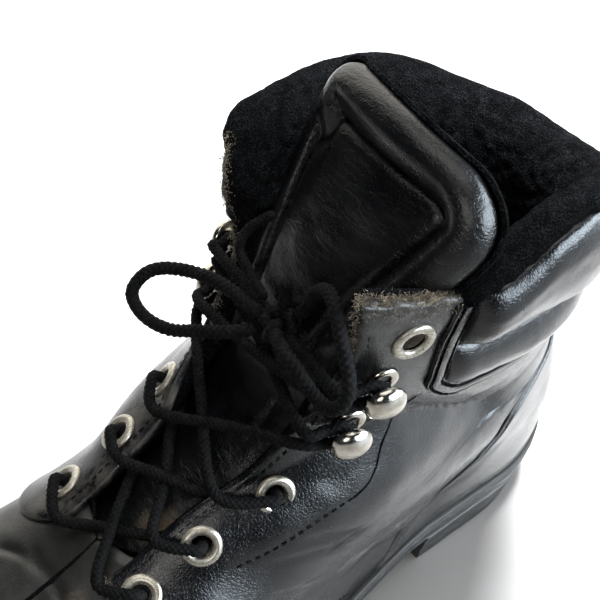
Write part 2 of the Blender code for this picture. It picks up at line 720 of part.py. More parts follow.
# Clearances of the crossings: over a facing's edge, over it where two cords cross, and past a hook's neck
OVER_EDGE = 0.0036
OVER_CROSSING = 0.0070
BESIDE_HOOK = 0.0079
HOOK_STEP = 0.0030
# How many levels below a hook the cord coming up to it crosses the facing's edge
CROSSING_DROP = 0.35
# Free cords as points x, sideways from the axis and z
LACE_LOOP_LEFT = (
    (0.1477, 0.0004, 0.1418), (0.1508, -0.0034, 0.1398), (0.1538, -0.0096, 0.1365),
    (0.1581, -0.0180, 0.1324), (0.1608, -0.0263, 0.1323), (0.1604, -0.0325, 0.1356),
    (0.1555, -0.0334, 0.1397), (0.1507, -0.0292, 0.1428), (0.1461, -0.0191, 0.1459),
    (0.1446, -0.0090, 0.1481), (0.1441, -0.0016, 0.1480),
)
LACE_LOOP_RIGHT = (
    (0.1332, 0.0098, 0.1503), (0.1336, 0.0128, 0.1589), (0.1348, 0.0177, 0.1640),
    (0.1378, 0.0242, 0.1649), (0.1417, 0.0322, 0.1618), (0.1450, 0.0388, 0.1562),
    (0.1472, 0.0414, 0.1517), (0.1482, 0.0384, 0.1490), (0.1478, 0.0300, 0.1486),
    (0.1468, 0.0200, 0.1480), (0.1445, 0.0098, 0.1466),
)
LACE_END_LONG = (
    (0.1363, -0.0072, 0.1458), (0.1360, -0.0128, 0.1483), (0.1347, -0.0181, 0.1517),
    (0.1311, -0.0188, 0.1561), (0.1262, -0.0147, 0.1622),
)
LACE_END_SHORT = (
    (0.1348, 0.0027, 0.1522), (0.1359, 0.0025, 0.1559),
)
FREE_CORDS = (("lace_loop_left", LACE_LOOP_LEFT), ("lace_loop_right", LACE_LOOP_RIGHT),
              ("lace_end_long", LACE_END_LONG), ("lace_end_short", LACE_END_SHORT))


def boot_point(place):
    x, sideways, z = place
    return Vector((HEEL_X + x, AXIS_Y + sideways, z))


def knot_seat(towards):
    """The end of a cord that leaves the knot towards a point, just clear of the knot's face."""
    away = (towards - boot_point(KNOT)).normalized()
    reach = 1 / math.sqrt(sum((part / size) ** 2 for part, size in zip(away, KNOT_SIZE)))
    return boot_point(KNOT) + away * (reach + KNOT_GAP)


def smooth_path(points, samples):
    """A rounded path through the points."""
    points = [Vector(point) for point in points]
    spread = [points[0] * 2 - points[1], *points, points[-1] * 2 - points[-2]]
    path = []
    for before, start, end, after in zip(spread, spread[1:], spread[2:], spread[3:]):
        for k in range(samples):
            t = k / samples
            square = 2 * before - 5 * start + 4 * end - after
            cube = 3 * start - before - 3 * end + after
            path.append(0.5 * (2 * start + (end - before) * t + square * t**2 + cube * t**3))
    return path + [points[-1]]


def cord_mesh(points, samples=2):
    """A round cord along a smooth path, closed at both ends."""
    path = smooth_path(points, samples)
    data = bpy.data.curves.new("cord", "CURVE")
    data.dimensions = "3D"
    data.bevel_depth = CORD / 2
    data.bevel_resolution = 2
    data.use_fill_caps = True
    spline = data.splines.new("POLY")
    spline.points.add(len(path) - 1)
    for knot, place in zip(spline.points, path):
        knot.co = (*place, 1.0)
    holder = bpy.data.objects.new("cord", data)
    bpy.context.scene.collection.objects.link(holder)
    view = bpy.context.evaluated_depsgraph_get()
    mesh = bpy.data.meshes.new_from_object(holder.evaluated_get(view))
    bpy.data.objects.remove(holder)
    bm = bmesh.new()
    bm.from_mesh(mesh)
    bmesh.ops.remove_doubles(bm, verts=bm.verts, dist=1e-5)
    bmesh.ops.recalc_face_normals(bm, faces=bm.faces)
    bm.to_mesh(mesh)
    bm.free()
    return mesh


def lacing_points(side_name, number):
    """Where a cord leaves a fitting, crosses the facing's edge outside, and ends inside the throat."""
    side = dict(SIDES)[side_name]
    row = ROWS[number - 1]
    level = row[ROW_COLUMNS.index(f"{side_name}_level")]
    gap = row[ROW_COLUMNS.index(f"{side_name}_gap")]
    face = WALL + PANEL_GAP + QUARTER
    turn = turn_at_gap(level, gap, side)
    normal = last_normal(level, turn)
    seat = last_point(level, turn, face)
    rim_turn = edge_turn(level, side)
    rim_normal = last_normal(level, rim_turn)
    inward = (last_point(level, rim_turn) - last_point(level, turn)).normalized()
    up = (last_point(level + 0.2, turn) - last_point(level - 0.2, turn)).normalized()
    over = last_point(level, rim_turn, face + CORD / 2 + OVER_EDGE)
    if row[0] == "hook":
        reach = (last_point(level, rim_turn) - last_point(level, turn)).length
        beside = last_point(level, mixed(turn, rim_turn, BESIDE_HOOK / reach), face + CORD / 2 + 0.0020)
        low = level - CROSSING_DROP
        high = last_point(low, edge_turn(low, side), face + CORD / 2 + OVER_CROSSING)
        step = up * HOOK_STEP
        return {"leave": [beside + step, over + step], "reach": [high, beside - step]}
    leave = seat + normal * (SEAT_GAP + 2 * FLANGE_RISE + CORD / 2)
    inside = last_point(level, rim_turn, CORD / 2 + 0.0008) + inward * (CORD / 2 + 0.0018)
    return {"leave": [leave, over], "reach": [inside + inward * 0.002 + rim_normal * 0.0008, inside]}


def build_lace(finish, group, cutters):
    for number, runs in enumerate(LACE_RUNS, 1):
        meshes = []
        for from_side, from_row, to_side, to_row in runs:
            leave = lacing_points(from_side, from_row)["leave"]
            reach = lacing_points(to_side, to_row)["reach"]
            middle = (leave[-1] + reach[0]) / 2
            meshes.append(cord_mesh([*leave, middle, *reach]))
        union_of(f"lace_cross_{number}", meshes, finish, group, cutters)
    knot = boot_point(KNOT)
    size = Matrix.Diagonal((*KNOT_SIZE, 1.0))
    lump = primitive(bmesh.ops.create_uvsphere, Matrix.Translation(knot) @ size, u_segments=12, v_segments=8,
                     radius=1.0)
    bars = []
    for side_name, _ in SIDES:
        leave = lacing_points(side_name, len(ROWS) - 1)["leave"]
        bars.append(cord_mesh([*leave, (leave[-1] + knot) / 2, knot]))
    union_of("lace_knot", [lump, *bars], finish, group, cutters)
    for name, points in FREE_CORDS:
        path = [boot_point(point) for point in points]
        path.insert(0, knot_seat(path[0]))
        if name.startswith("lace_loop"):
            path.append(knot_seat(path[-1]))
        add_object(name, cord_mesh(path), finish, group)


def main():
    for old in list(bpy.data.objects):
        bpy.data.objects.remove(old)
    group = bpy.data.collections.new("work_boot")
    cutters = bpy.data.collections.new("cutters")
    bpy.context.scene.collection.children.link(group)
    bpy.context.scene.collection.children.link(cutters)
    finishes = {
        "leather": material("black_leather", LEATHER, 0.42),
        "fleece": material("fleece_lining", FLEECE, 0.95),
        "rubber": material("sole_rubber", RUBBER, 0.6),
        "welt": material("worn_welt", WELT, 0.8),
        "lace": material("braided_lace", CLOTH, 0.9),
        "nickel": material("nickel_plate", NICKEL, 0.18, 1.0),
    }
    places = fitting_places()
    holes = build_holes(places, cutters)
    upper = build_upper(finishes["leather"], group)
    cut(upper, holes)
    for side_name, side in SIDES:
        cut(build_quarter(f"quarter_{side_name}", side, finishes["leather"], group), holes)
    build_counter(finishes["leather"], group)
    build_collar(finishes["leather"], group)
    build_tongue(finishes["leather"], group)
    build_sole(finishes, group, cutters)
    for kind, name, seat, normal, inward in places:
        if kind == "eyelet":
            build_eyelet(name, seat, normal, inward, finishes["nickel"], group)
        else:
            build_hook(name, seat, normal, inward, finishes["nickel"], group, cutters)
    build_lace(finishes["lace"], group, cutters)


if __name__ == "__main__":
    main()
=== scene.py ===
import math
import bpy
import numpy as np
from mathutils import Matrix, Vector


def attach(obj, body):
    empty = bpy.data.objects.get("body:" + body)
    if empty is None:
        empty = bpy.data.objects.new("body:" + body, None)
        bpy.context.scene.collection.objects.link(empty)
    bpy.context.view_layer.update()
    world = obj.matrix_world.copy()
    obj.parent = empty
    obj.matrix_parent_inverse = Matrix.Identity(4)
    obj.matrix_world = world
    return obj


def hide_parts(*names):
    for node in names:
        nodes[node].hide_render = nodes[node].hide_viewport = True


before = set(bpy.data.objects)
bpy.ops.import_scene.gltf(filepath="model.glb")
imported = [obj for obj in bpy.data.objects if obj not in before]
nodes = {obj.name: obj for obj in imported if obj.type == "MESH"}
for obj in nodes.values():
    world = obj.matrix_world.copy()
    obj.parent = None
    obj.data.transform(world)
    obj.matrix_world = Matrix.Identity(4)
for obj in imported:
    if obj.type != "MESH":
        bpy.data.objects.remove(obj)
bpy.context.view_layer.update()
print("frame loaded with", len(nodes), "nodes")

# the last that the boot was made on, metres, x counted forward from the heel's feather edge
lastForm = {
    "heelX": -0.14665, "outsole": 0.0075, "midsole": 0.0050, "joint": 0.0003,
    "seatRise": 0.0008, "upright": 0.2, "top": 13.0, "heelBlock": 0.0165, "heelRound": 2.1,
    # steps for slopes by level and turn, and halvings of a search
    "levelStep": 0.08, "turnStep": 0.006, "rateStep": 0.004, "halvings": 26,
    # x, middle, lateral and medial half widths
    "foot": [(0.000, -0.0035, 0.0262, 0.0262), (0.040, -0.0035, 0.0268, 0.0270),
             (0.075, -0.0035, 0.0275, 0.0262), (0.110, -0.0030, 0.0300, 0.0260),
             (0.150, -0.0015, 0.0362, 0.0330), (0.190, 0.0, 0.0430, 0.0415),
             (0.215, 0.0, 0.0450, 0.0450), (0.290, 0.0, 0.0430, 0.0470)],
    "ground": [(-0.010, 0.0165), (0.080, 0.0165), (0.120, 0.0080), (0.162, 0.0), (0.232, 0.0),
               (0.264, 0.0024), (0.296, 0.0090)],
    # frontX, frontZ, backX, backZ, ankle, lateral, medial, swell, nose, blunt, heel, dip
    "levels": [
        (0.2860, 0.0215, 0.0075, 0.0296, 0.00, 0.030, 0.030, 1.00, 0.085, 2.30, 0.038, 1.0),
        (0.2885, 0.0330, 0.0072, 0.0420, 0.00, 0.030, 0.030, 1.03, 0.085, 2.30, 0.039, 1.0),
        (0.2820, 0.0440, 0.0080, 0.0530, 0.00, 0.030, 0.030, 1.04, 0.086, 2.25, 0.040, 1.0),
        (0.2690, 0.0535, 0.0098, 0.0635, 0.08, 0.030, 0.030, 1.03, 0.088, 2.20, 0.042, 1.0),
        (0.2480, 0.0605, 0.0125, 0.0735, 0.20, 0.030, 0.030, 1.00, 0.090, 2.20, 0.044, 1.0),
        (0.2240, 0.0675, 0.0165, 0.0830, 0.35, 0.030, 0.032, 0.98, 0.090, 2.25, 0.046, 1.0),
        (0.1980, 0.0775, 0.0205, 0.0915, 0.55, 0.030, 0.036, 0.97, 0.088, 2.40, 0.047, 1.2),
        (0.1785, 0.0910, 0.0242, 0.0995, 0.75, 0.031, 0.040, 0.98, 0.086, 2.45, 0.048, 1.6),
        (0.1620, 0.1030, 0.0272, 0.1070, 0.90, 0.032, 0.036, 0.98, 0.086, 2.45, 0.049, 2.2),
        (0.1550, 0.1175, 0.0297, 0.1145, 1.00, 0.033, 0.0295, 1.00, 0.086, 2.40, 0.050, 2.8),
        (0.1540, 0.1335, 0.0306, 0.1225, 1.00, 0.035, 0.031, 1.00, 0.088, 2.40, 0.050, 3.4),
        (0.1540, 0.1460, 0.0308, 0.1290, 1.00, 0.0365, 0.0345, 1.00, 0.090, 2.40, 0.050, 3.8),
        (0.1545, 0.1600, 0.0292, 0.1375, 1.00, 0.0375, 0.0390, 1.00, 0.091, 2.40, 0.050, 4.2),
        (0.1550, 0.1735, 0.0262, 0.1465, 1.00, 0.0385, 0.0425, 1.00, 0.092, 2.40, 0.050, 4.6)],
    # half gap of the throat by level
    "edge": {1: [(5.4, 0.0100), (6.0, 0.0108), (7.0, 0.0125), (8.0, 0.0160), (9.0, 0.0190),
                 (10.0, 0.0225), (11.0, 0.0259), (12.0, 0.0270), (13.3, 0.0272)],
             -1: [(5.4, 0.0110), (6.0, 0.0108), (7.0, 0.0095), (8.0, 0.0105), (8.5, 0.0145),
                  (9.0, 0.0185), (10.0, 0.0240), (11.0, 0.0275), (12.0, 0.0303), (12.6, 0.0326),
                  (13.0, 0.0346), (13.3, 0.0354)]},
    # seams as x by level
    "counterSeam": [(0.0, 0.106), (1.4, 0.0955), (3.2, 0.0760), (4.0, 0.0650), (4.9, 0.0590),
                    (5.3, 0.0530), (5.56, 0.0440), (5.75, 0.0340), (5.9, 0.0228)],
    "vampSeam": [(0.0, 0.124), (1.0, 0.139), (2.0, 0.155), (3.0, 0.172), (4.2, 0.193)],
    "collarSeam": [(9.0, 0.1052), (10.9, 0.1072), (13.0, 0.1056)],
    # rise of the rim by turn, coming in over the collar's levels
    "rimLift": [(0.0, 0.0), (0.120, -0.0008), (0.150, -0.0030), (0.175, -0.0046), (0.195, -0.0060),
                (0.208, -0.0072), (0.218, -0.0078), (0.232, -0.0064), (0.250, -0.0022),
                (0.270, 0.0035), (0.300, 0.0080), (0.340, 0.0092), (0.400, 0.0080), (0.500, 0.0068),
                (0.545, 0.0062), (0.585, 0.0024), (0.620, 0.0), (1.0, 0.0)],
    "rimLevels": (10.8, 13.0), "tabShort": {1: 0.0, -1: 0.006},
    "tabLevel": 4.2, "tabEnd": 6.0, "earTop": 13.0, "counterTop": 5.9,
}
sizeNames = ("frontX", "frontZ", "backX", "backZ", "ankle", "lateral", "medial", "swell", "nose",
             "blunt", "heel", "dip")
levelRows = [(number, *row) for number, row in enumerate(lastForm["levels"])]
sideSigns = {"lateral": 1, "medial": -1}


def mixed(start, end, share):
    return start + (end - start) * share


def eased(low, high, value):
    share = np.clip((np.asarray(value, float) - low) / (high - low), 0, 1)
    return share * share * (3 - 2 * share)


def roundRise(share):    # a quarter circle from 0 to 1
    return np.sqrt(np.clip(1 - (1 - np.clip(share, 0, 1)) ** 2, 0, 1))


def curveAt(rows, x, column=1):
    table = np.asarray(rows, float)
    places, heights = table[:, 0], table[:, column]
    step = np.diff(places)
    slope = np.diff(heights) / step
    before, after = slope[:-1], slope[1:]
    same = before * after > 0
    inner = np.where(same, 2 * before * after / np.where(same, before + after, 1), 0)
    tangent = np.concatenate([slope[:1], inner, slope[-1:]])
    x = np.clip(np.asarray(x, float), places[0], places[-1])
    i = np.clip(np.searchsorted(places, x, side="right") - 1, 0, len(places) - 2)
    t = (x - places[i]) / step[i]
    return ((2 * t**3 - 3 * t**2 + 1) * heights[i] + (t**3 - 2 * t**2 + t) * step[i] * tangent[i]
            + (3 * t**2 - 2 * t**3) * heights[i + 1] + (t**3 - t**2) * step[i] * tangent[i + 1])


def groundAt(x):
    return curveAt(lastForm["ground"], x)


def featherAt(x):
    return groundAt(x) + lastForm["outsole"] + lastForm["midsole"] + 2 * lastForm["joint"]


def lastSurface(level, turn):    # turn 0 front, 0.25 lateral, 0.5 back, 0.75 medial
    level, turn = np.broadcast_arrays(np.asarray(level, float), np.asarray(turn, float))
    planLevel = np.clip(level, lastForm["upright"], lastForm["top"])
    size = {name: curveAt(levelRows, planLevel, k + 1) for k, name in enumerate(sizeNames)}
    up = np.clip(level / lastForm["upright"], 0, 1)
    riseFront = mixed(lastForm["seatRise"], size["frontZ"] - featherAt(size["frontX"]), up)
    riseBack = mixed(lastForm["seatRise"], size["backZ"] - featherAt(size["backX"]), up)
    along = (1 + np.cos(2 * np.pi * turn)) / 2
    lateral = np.sin(2 * np.pi * turn) >= 0
    x = mixed(size["backX"], size["frontX"], along)
    lift = 1 - (1 - along) ** size["dip"]
    onSole = featherAt(x) + mixed(riseBack, riseFront, lift)
    z = mixed(onSole, mixed(size["backZ"], size["frontZ"], lift), size["ankle"])
    z = z + curveAt(lastForm["rimLift"], turn % 1.0) * eased(*lastForm["rimLevels"], planLevel)
    middle = curveAt(lastForm["foot"], x, 1) * (1 - size["ankle"])
    halves = [curveAt(lastForm["foot"], x, column) for column in (2, 3)]
    foot = np.where(lateral, *halves) * size["swell"]
    wide = mixed(foot, np.where(lateral, size["lateral"], size["medial"]), size["ankle"])
    ahead = np.clip((x - (size["frontX"] - size["nose"])) / size["nose"], 0, 1)
    behind = np.clip((size["backX"] + size["heel"] - x) / size["heel"], 0, 1)
    toe, heel = size["blunt"], lastForm["heelRound"]
    wide = wide * (1 - ahead**toe) ** (1 / toe) * (1 - behind**heel) ** (1 / heel)
    return np.stack([lastForm["heelX"] + x, middle + np.where(lateral, 1, -1) * wide, z], -1)


def unit(vectors):
    return vectors / np.maximum(np.linalg.norm(vectors, axis=-1, keepdims=True), 1e-12)


def lastNormal(level, turn):    # outward normal, and the way up for one level
    level = np.minimum(np.asarray(level, float), lastForm["top"])
    rise, swing = lastForm["levelStep"], lastForm["turnStep"]
    low, high = np.maximum(level - rise, 0), np.minimum(level + rise, lastForm["top"])
    up = lastSurface(high, turn) - lastSurface(low, turn)
    turn = np.asarray(turn, float)
    around = lastSurface(level, turn + swing) - lastSurface(level, turn - swing)
    return unit(np.cross(around, up)), up / np.asarray(high - low)[..., None]


def onLast(level, turn, out=0.0):
    level, turn, out = np.broadcast_arrays(*[np.asarray(part, float) for part in (level, turn, out)])
    over = np.maximum(level - lastForm["top"], 0)
    normal, up = lastNormal(level, turn)
    base = lastSurface(np.minimum(level, lastForm["top"]), turn)
    return base + normal * out[..., None] + up * over[..., None]


def turnAtX(level, x, side):
    level = np.clip(np.asarray(level, float), lastForm["upright"], lastForm["top"])
    front, back = curveAt(levelRows, level, 1), curveAt(levelRows, level, 3)
    turn = np.arccos(np.clip(2 * (x - back) / (front - back) - 1, -1, 1)) / (2 * np.pi)
    return turn if side > 0 else 1 - turn


def turnAtGap(level, gap, side):
    level, gap = np.broadcast_arrays(np.asarray(level, float), np.asarray(gap, float))
    near, far = np.zeros(level.shape), np.full(level.shape, 0.25)
    for _ in range(lastForm["halvings"]):
        middle = (near + far) / 2
        short = np.abs(lastSurface(level, middle if side > 0 else 1 - middle)[..., 1]) < gap
        near, far = np.where(short, middle, near), np.where(short, far, middle)
    return near if side > 0 else 1 - near


def turnRate(level, turn):    # turn for each metre along the surface
    step = lastForm["rateStep"]
    ahead = lastSurface(level, turn + step) - lastSurface(level, turn - step)
    return 2 * step / np.linalg.norm(ahead, axis=-1)


def edgeTurn(level, side):
    return turnAtGap(level, curveAt(lastForm["edge"][side], level), side)


def frontTurn(level, side):    # vamp seam, then the tab's slanted end, then the throat
    level = np.asarray(level, float)
    tab, end = lastForm["tabLevel"], lastForm["tabEnd"]
    short = lastForm["tabShort"][side] * np.clip(level / tab, 0, 1) ** 2
    seam = turnAtX(np.minimum(level, tab), curveAt(lastForm["vampSeam"], level) - short, side)
    start = turnAtX(tab, curveAt(lastForm["vampSeam"], tab) - lastForm["tabShort"][side], side)
    share = np.clip((level - tab) / (end - tab), 0, 1)
    slant = mixed(start, edgeTurn(end, side), share)
    below = np.where(level <= tab, seam, slant)
    return np.where(level >= end, edgeTurn(np.maximum(level, end), side), below)


def sidePlace(x, z, side):    # level and turn of the last's side seen at x and z
    x, z = np.asarray(x, float), np.asarray(z, float)
    low, high = np.zeros(x.shape), np.full(x.shape, lastForm["top"])
    for _ in range(lastForm["halvings"]):
        middle = (low + high) / 2
        below = lastSurface(middle, turnAtX(middle, x, side))[..., 2] < z
        low, high = np.where(below, middle, low), np.where(below, high, middle)
    return low, turnAtX(low, x, side)


def softNoise(points, size, seed):    # smooth noise from -1 to 1
    spot = np.asarray(points) / size + seed * 7.31
    cell = np.floor(spot).astype(np.int64)
    part = spot - cell
    part = part * part * (3 - 2 * part)
    total = 0.0
    for corner in range(8):
        offset = np.array([(corner >> k) & 1 for k in range(3)])
        c = cell + offset
        mark = (c[..., 0] * 73856093) ^ (c[..., 1] * 19349663) ^ (c[..., 2] * 83492791) ^ (seed * 40503)
        mark = ((mark ^ (mark >> 13)) * 1274126177) & 0xFFFFFFFF
        mark = ((mark ^ (mark >> 15)) * 2246822519) & 0xFFFFFFFF
        weight = np.prod(np.where(offset, part, 1 - part), axis=-1)
        total = total + ((mark ^ (mark >> 16)) / 0xFFFFFFFF) * weight
    return total * 2 - 1


def roughened(points, rows, value=0.0):    # adds noise to a value, rows of strength, size and seed
    for strength, size, seed in rows:
        value = value + strength * softNoise(points, size, seed)
    return value


def lineReach(points, line):    # distance from a line and the share along it
    line = np.asarray(line, float)
    best = np.full(points.shape[:-1], 1e9)
    share = np.zeros(points.shape[:-1])
    lengths = np.linalg.norm(np.diff(line, axis=0), axis=1)
    before = lengthAlong(line)
    for k, length in enumerate(lengths):
        run = line[k + 1] - line[k]
        t = np.clip(((points - line[k]) @ run) / max(length, 1e-9) ** 2, 0, 1)
        gap = np.linalg.norm(points - (line[k] + t[..., None] * run), axis=-1)
        closer = gap < best
        best = np.where(closer, gap, best)
        share = np.where(closer, (before[k] + t * length) / before[-1], share)
    return best, share


def smoothPath(points, samples):
    points = np.asarray(points, float)
    spread = np.concatenate([[2 * points[0] - points[1]], points, [2 * points[-1] - points[-2]]])
    t = (np.arange(samples) / samples)[:, None]
    runs = []
    for before, start, end, after in zip(spread, spread[1:], spread[2:], spread[3:]):
        square = 2 * before - 5 * start + 4 * end - after
        cube = 3 * start - before - 3 * end + after
        runs.append(0.5 * (2 * start + (end - before) * t + square * t**2 + cube * t**3))
    return np.concatenate([*runs, points[-1:]])


def lengthAlong(path):
    return np.concatenate([[0], np.cumsum(np.linalg.norm(np.diff(path, axis=0), axis=1))])


def pickAlong(rows, along, places):    # rows of three values, read at places along a path
    return np.stack([np.interp(places, along, rows[:, k]) for k in range(3)], -1)


def evenPath(path, step):
    along = lengthAlong(path)
    count = max(2, int(round(along[-1] / step)) + 1)
    return pickAlong(path, along, np.linspace(0, along[-1], count))


def axesMatrix(first, second, third, place):
    return np.vstack([np.column_stack([first, second, third, place]), (0, 0, 0, 1)])


# mesh helpers
def makeActive(piece):
    bpy.ops.object.select_all(action="DESELECT")
    piece.select_set(True)
    bpy.context.view_layer.objects.active = piece


def placeVertices(piece, places):
    piece.data.vertices.foreach_set("co", places.astype(np.float32).ravel())
    piece.data.update()
    return piece


def gridPiece(name, places):    # a grid primitive laid through rows of points
    rows, columns = places.shape[:2]
    bpy.ops.object.select_all(action="DESELECT")
    bpy.ops.mesh.primitive_grid_add(x_subdivisions=columns - 1, y_subdivisions=rows - 1, size=1)
    piece = bpy.context.object
    piece.name = name
    piece.data.name = name
    return placeVertices(piece, places)


def applied(piece, kind, **settings):
    made = piece.modifiers.new(kind.lower(), kind)
    for key, value in settings.items():
        setattr(made, key, value)
    makeActive(piece)
    bpy.ops.object.modifier_apply(modifier=made.name)
    return piece


def thickened(piece, wall):    # a wall grown inwards from the outer face
    return applied(piece, "SOLIDIFY", thickness=wall, offset=-1.0)


def cutAway(cutter, *pieces):
    for piece in pieces:
        applied(piece, "BOOLEAN", object=cutter, operation="DIFFERENCE", solver="EXACT")
    bpy.data.objects.remove(cutter)


def inEditMode(piece, *steps):
    makeActive(piece)
    bpy.ops.object.mode_set(mode="EDIT")
    bpy.ops.mesh.select_mode(type="VERT")
    bpy.ops.mesh.select_all(action="SELECT")
    for step in steps:
        step()
    bpy.ops.object.mode_set(mode="OBJECT")
    return piece


def closeDoubles(piece, reach=1e-6):
    return inEditMode(piece, lambda: bpy.ops.mesh.remove_doubles(threshold=reach),
                      lambda: bpy.ops.mesh.dissolve_degenerate(threshold=1e-7),
                      lambda: bpy.ops.mesh.select_all(action="SELECT"),
                      lambda: bpy.ops.mesh.normals_make_consistent(inside=False))


def dropVertices(piece, mask):
    makeActive(piece)
    bpy.ops.object.mode_set(mode="EDIT")
    bpy.ops.mesh.select_mode(type="VERT")
    bpy.ops.mesh.select_all(action="DESELECT")
    bpy.ops.object.mode_set(mode="OBJECT")
    piece.data.vertices.foreach_set("select", mask.ravel())
    bpy.ops.object.mode_set(mode="EDIT")
    bpy.ops.mesh.delete(type="VERT")
    bpy.ops.object.mode_set(mode="OBJECT")
    return piece


def verticesOf(piece):
    places = np.empty(len(piece.data.vertices) * 3, np.float32)
    piece.data.vertices.foreach_get("co", places)
    return places.reshape(-1, 3).astype(float)


def paint(piece, name, values):    # a point attribute from 0 to 1
    layer = piece.data.attributes.get(name) or piece.data.attributes.new(name, "FLOAT", "POINT")
    layer.data.foreach_set("value", np.clip(values, 0, 1).astype(np.float32))


def joined(name, pieces):
    bpy.ops.object.select_all(action="DESELECT")
    for piece in pieces:
        piece.select_set(True)
    bpy.context.view_layer.objects.active = pieces[0]
    if len(pieces) > 1:
        bpy.ops.object.join()
    pieces[0].name = name
    pieces[0].data.name = name
    return pieces[0]


def settle(piece, finish, replaced=(), angle=50):    # last steps of every piece
    makeActive(piece)
    bpy.ops.object.transform_apply(location=True, rotation=True, scale=True)
    bpy.ops.object.shade_smooth_by_angle(angle=math.radians(angle))
    piece.data.materials.clear()
    piece.data.materials.append(finish)
    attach(piece, "root")
    if replaced:
        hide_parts(*replaced)
    print("piece", piece.name, len(piece.data.polygons), "faces")
    return piece


def copiesOf(name, model, matrices):    # one joined mesh of many copies of a small model
    shape = verticesOf(model)
    faces = [list(face.vertices) for face in model.data.polygons]
    bpy.data.objects.remove(model)
    places, corners = [], []
    for number, matrix in enumerate(matrices):
        places.append(shape @ matrix[:3, :3].T + matrix[:3, 3])
        corners += [[k + number * len(shape) for k in face] for face in faces]
    mesh = bpy.data.meshes.new(name)
    mesh.from_pydata(np.concatenate(places).tolist(), [], corners)
    piece = bpy.data.objects.new(name, mesh)
    bpy.context.scene.collection.objects.link(piece)
    return piece


# materials
def startFinish(name):
    finish = bpy.data.materials.new(name)
    finish.use_nodes = True
    tree = finish.node_tree
    return finish, tree, tree.nodes["Principled BSDF"]


def setInputs(tree, node, inputs):    # links sockets and sets plain values
    for key, value in inputs.items():
        if isinstance(value, bpy.types.NodeSocket):
            tree.links.new(value, node.inputs[key])
        else:
            node.inputs[key].default_value = value


def addNode(tree, kind, inputs=None, **options):
    made = tree.nodes.new(kind)
    for key, value in options.items():
        setattr(made, key, value)
    setInputs(tree, made, inputs or {})
    return made


def ramp(tree, value, low, high, start=0.0, end=1.0):
    made = addNode(tree, "ShaderNodeMapRange", {"Value": value, "From Min": low, "From Max": high,
                                                "To Min": start, "To Max": end},
                   interpolation_type="SMOOTHSTEP")
    return made.outputs["Result"]


def blended(tree, share, first, second):
    made = addNode(tree, "ShaderNodeMix", {0: share, 6: first, 7: second}, data_type="RGBA")
    return made.outputs[2]


def combined(tree, first, second, kind):
    return addNode(tree, "ShaderNodeMath", {0: first, 1: second}, operation=kind).outputs[0]


def added(tree, first, second):
    return combined(tree, first, second, "ADD")


def times(tree, first, second):
    return combined(tree, first, second, "MULTIPLY")


def objectCoords(tree):
    return addNode(tree, "ShaderNodeTexCoord").outputs["Object"]


def noiseAt(tree, where, scale, detail=4.0, roughness=0.55):
    made = addNode(tree, "ShaderNodeTexNoise", {"Vector": where, "Scale": scale, "Detail": detail,
                                                "Roughness": roughness})
    return made.outputs["Fac"]


def attributeOf(tree, name):
    return addNode(tree, "ShaderNodeAttribute", attribute_name=name).outputs["Fac"]


def addBump(tree, shader, strength, distance, height):
    bump = addNode(tree, "ShaderNodeBump", {"Strength": strength, "Distance": distance, "Height": height})
    tree.links.new(bump.outputs["Normal"], shader.inputs["Normal"])


leatherLook = {
    # the default deep and pale carry a blue cast that is a painted reflection of a bluish sky on black
    # leather
    "deep": (0.0020, 0.0024, 0.0036, 1), "pale": (0.0050, 0.0058, 0.0080, 1),
    "worn": (0.060, 0.056, 0.050, 1), "dust": (0.105, 0.078, 0.052, 1),
    "scratched": (0.050, 0.048, 0.043, 1), "coatRoughness": 0.16,
    "grainScale": 900, "poreScale": 2600, "cloudScale": 60, "scuffScale": 420, "speckScale": 900,
    "warpScale": 320, "warpReach": 0.0022, "crepeScale": 620, "crepeStretch": (1.0, 0.30, 1.0),
    # turn and scale of the two sets of scratches
    "scratches": [((0.35, 0.2, 0.9), (90, 1500, 900)), ((-0.5, 0.4, -0.6), (70, 1300, 1100))],
}


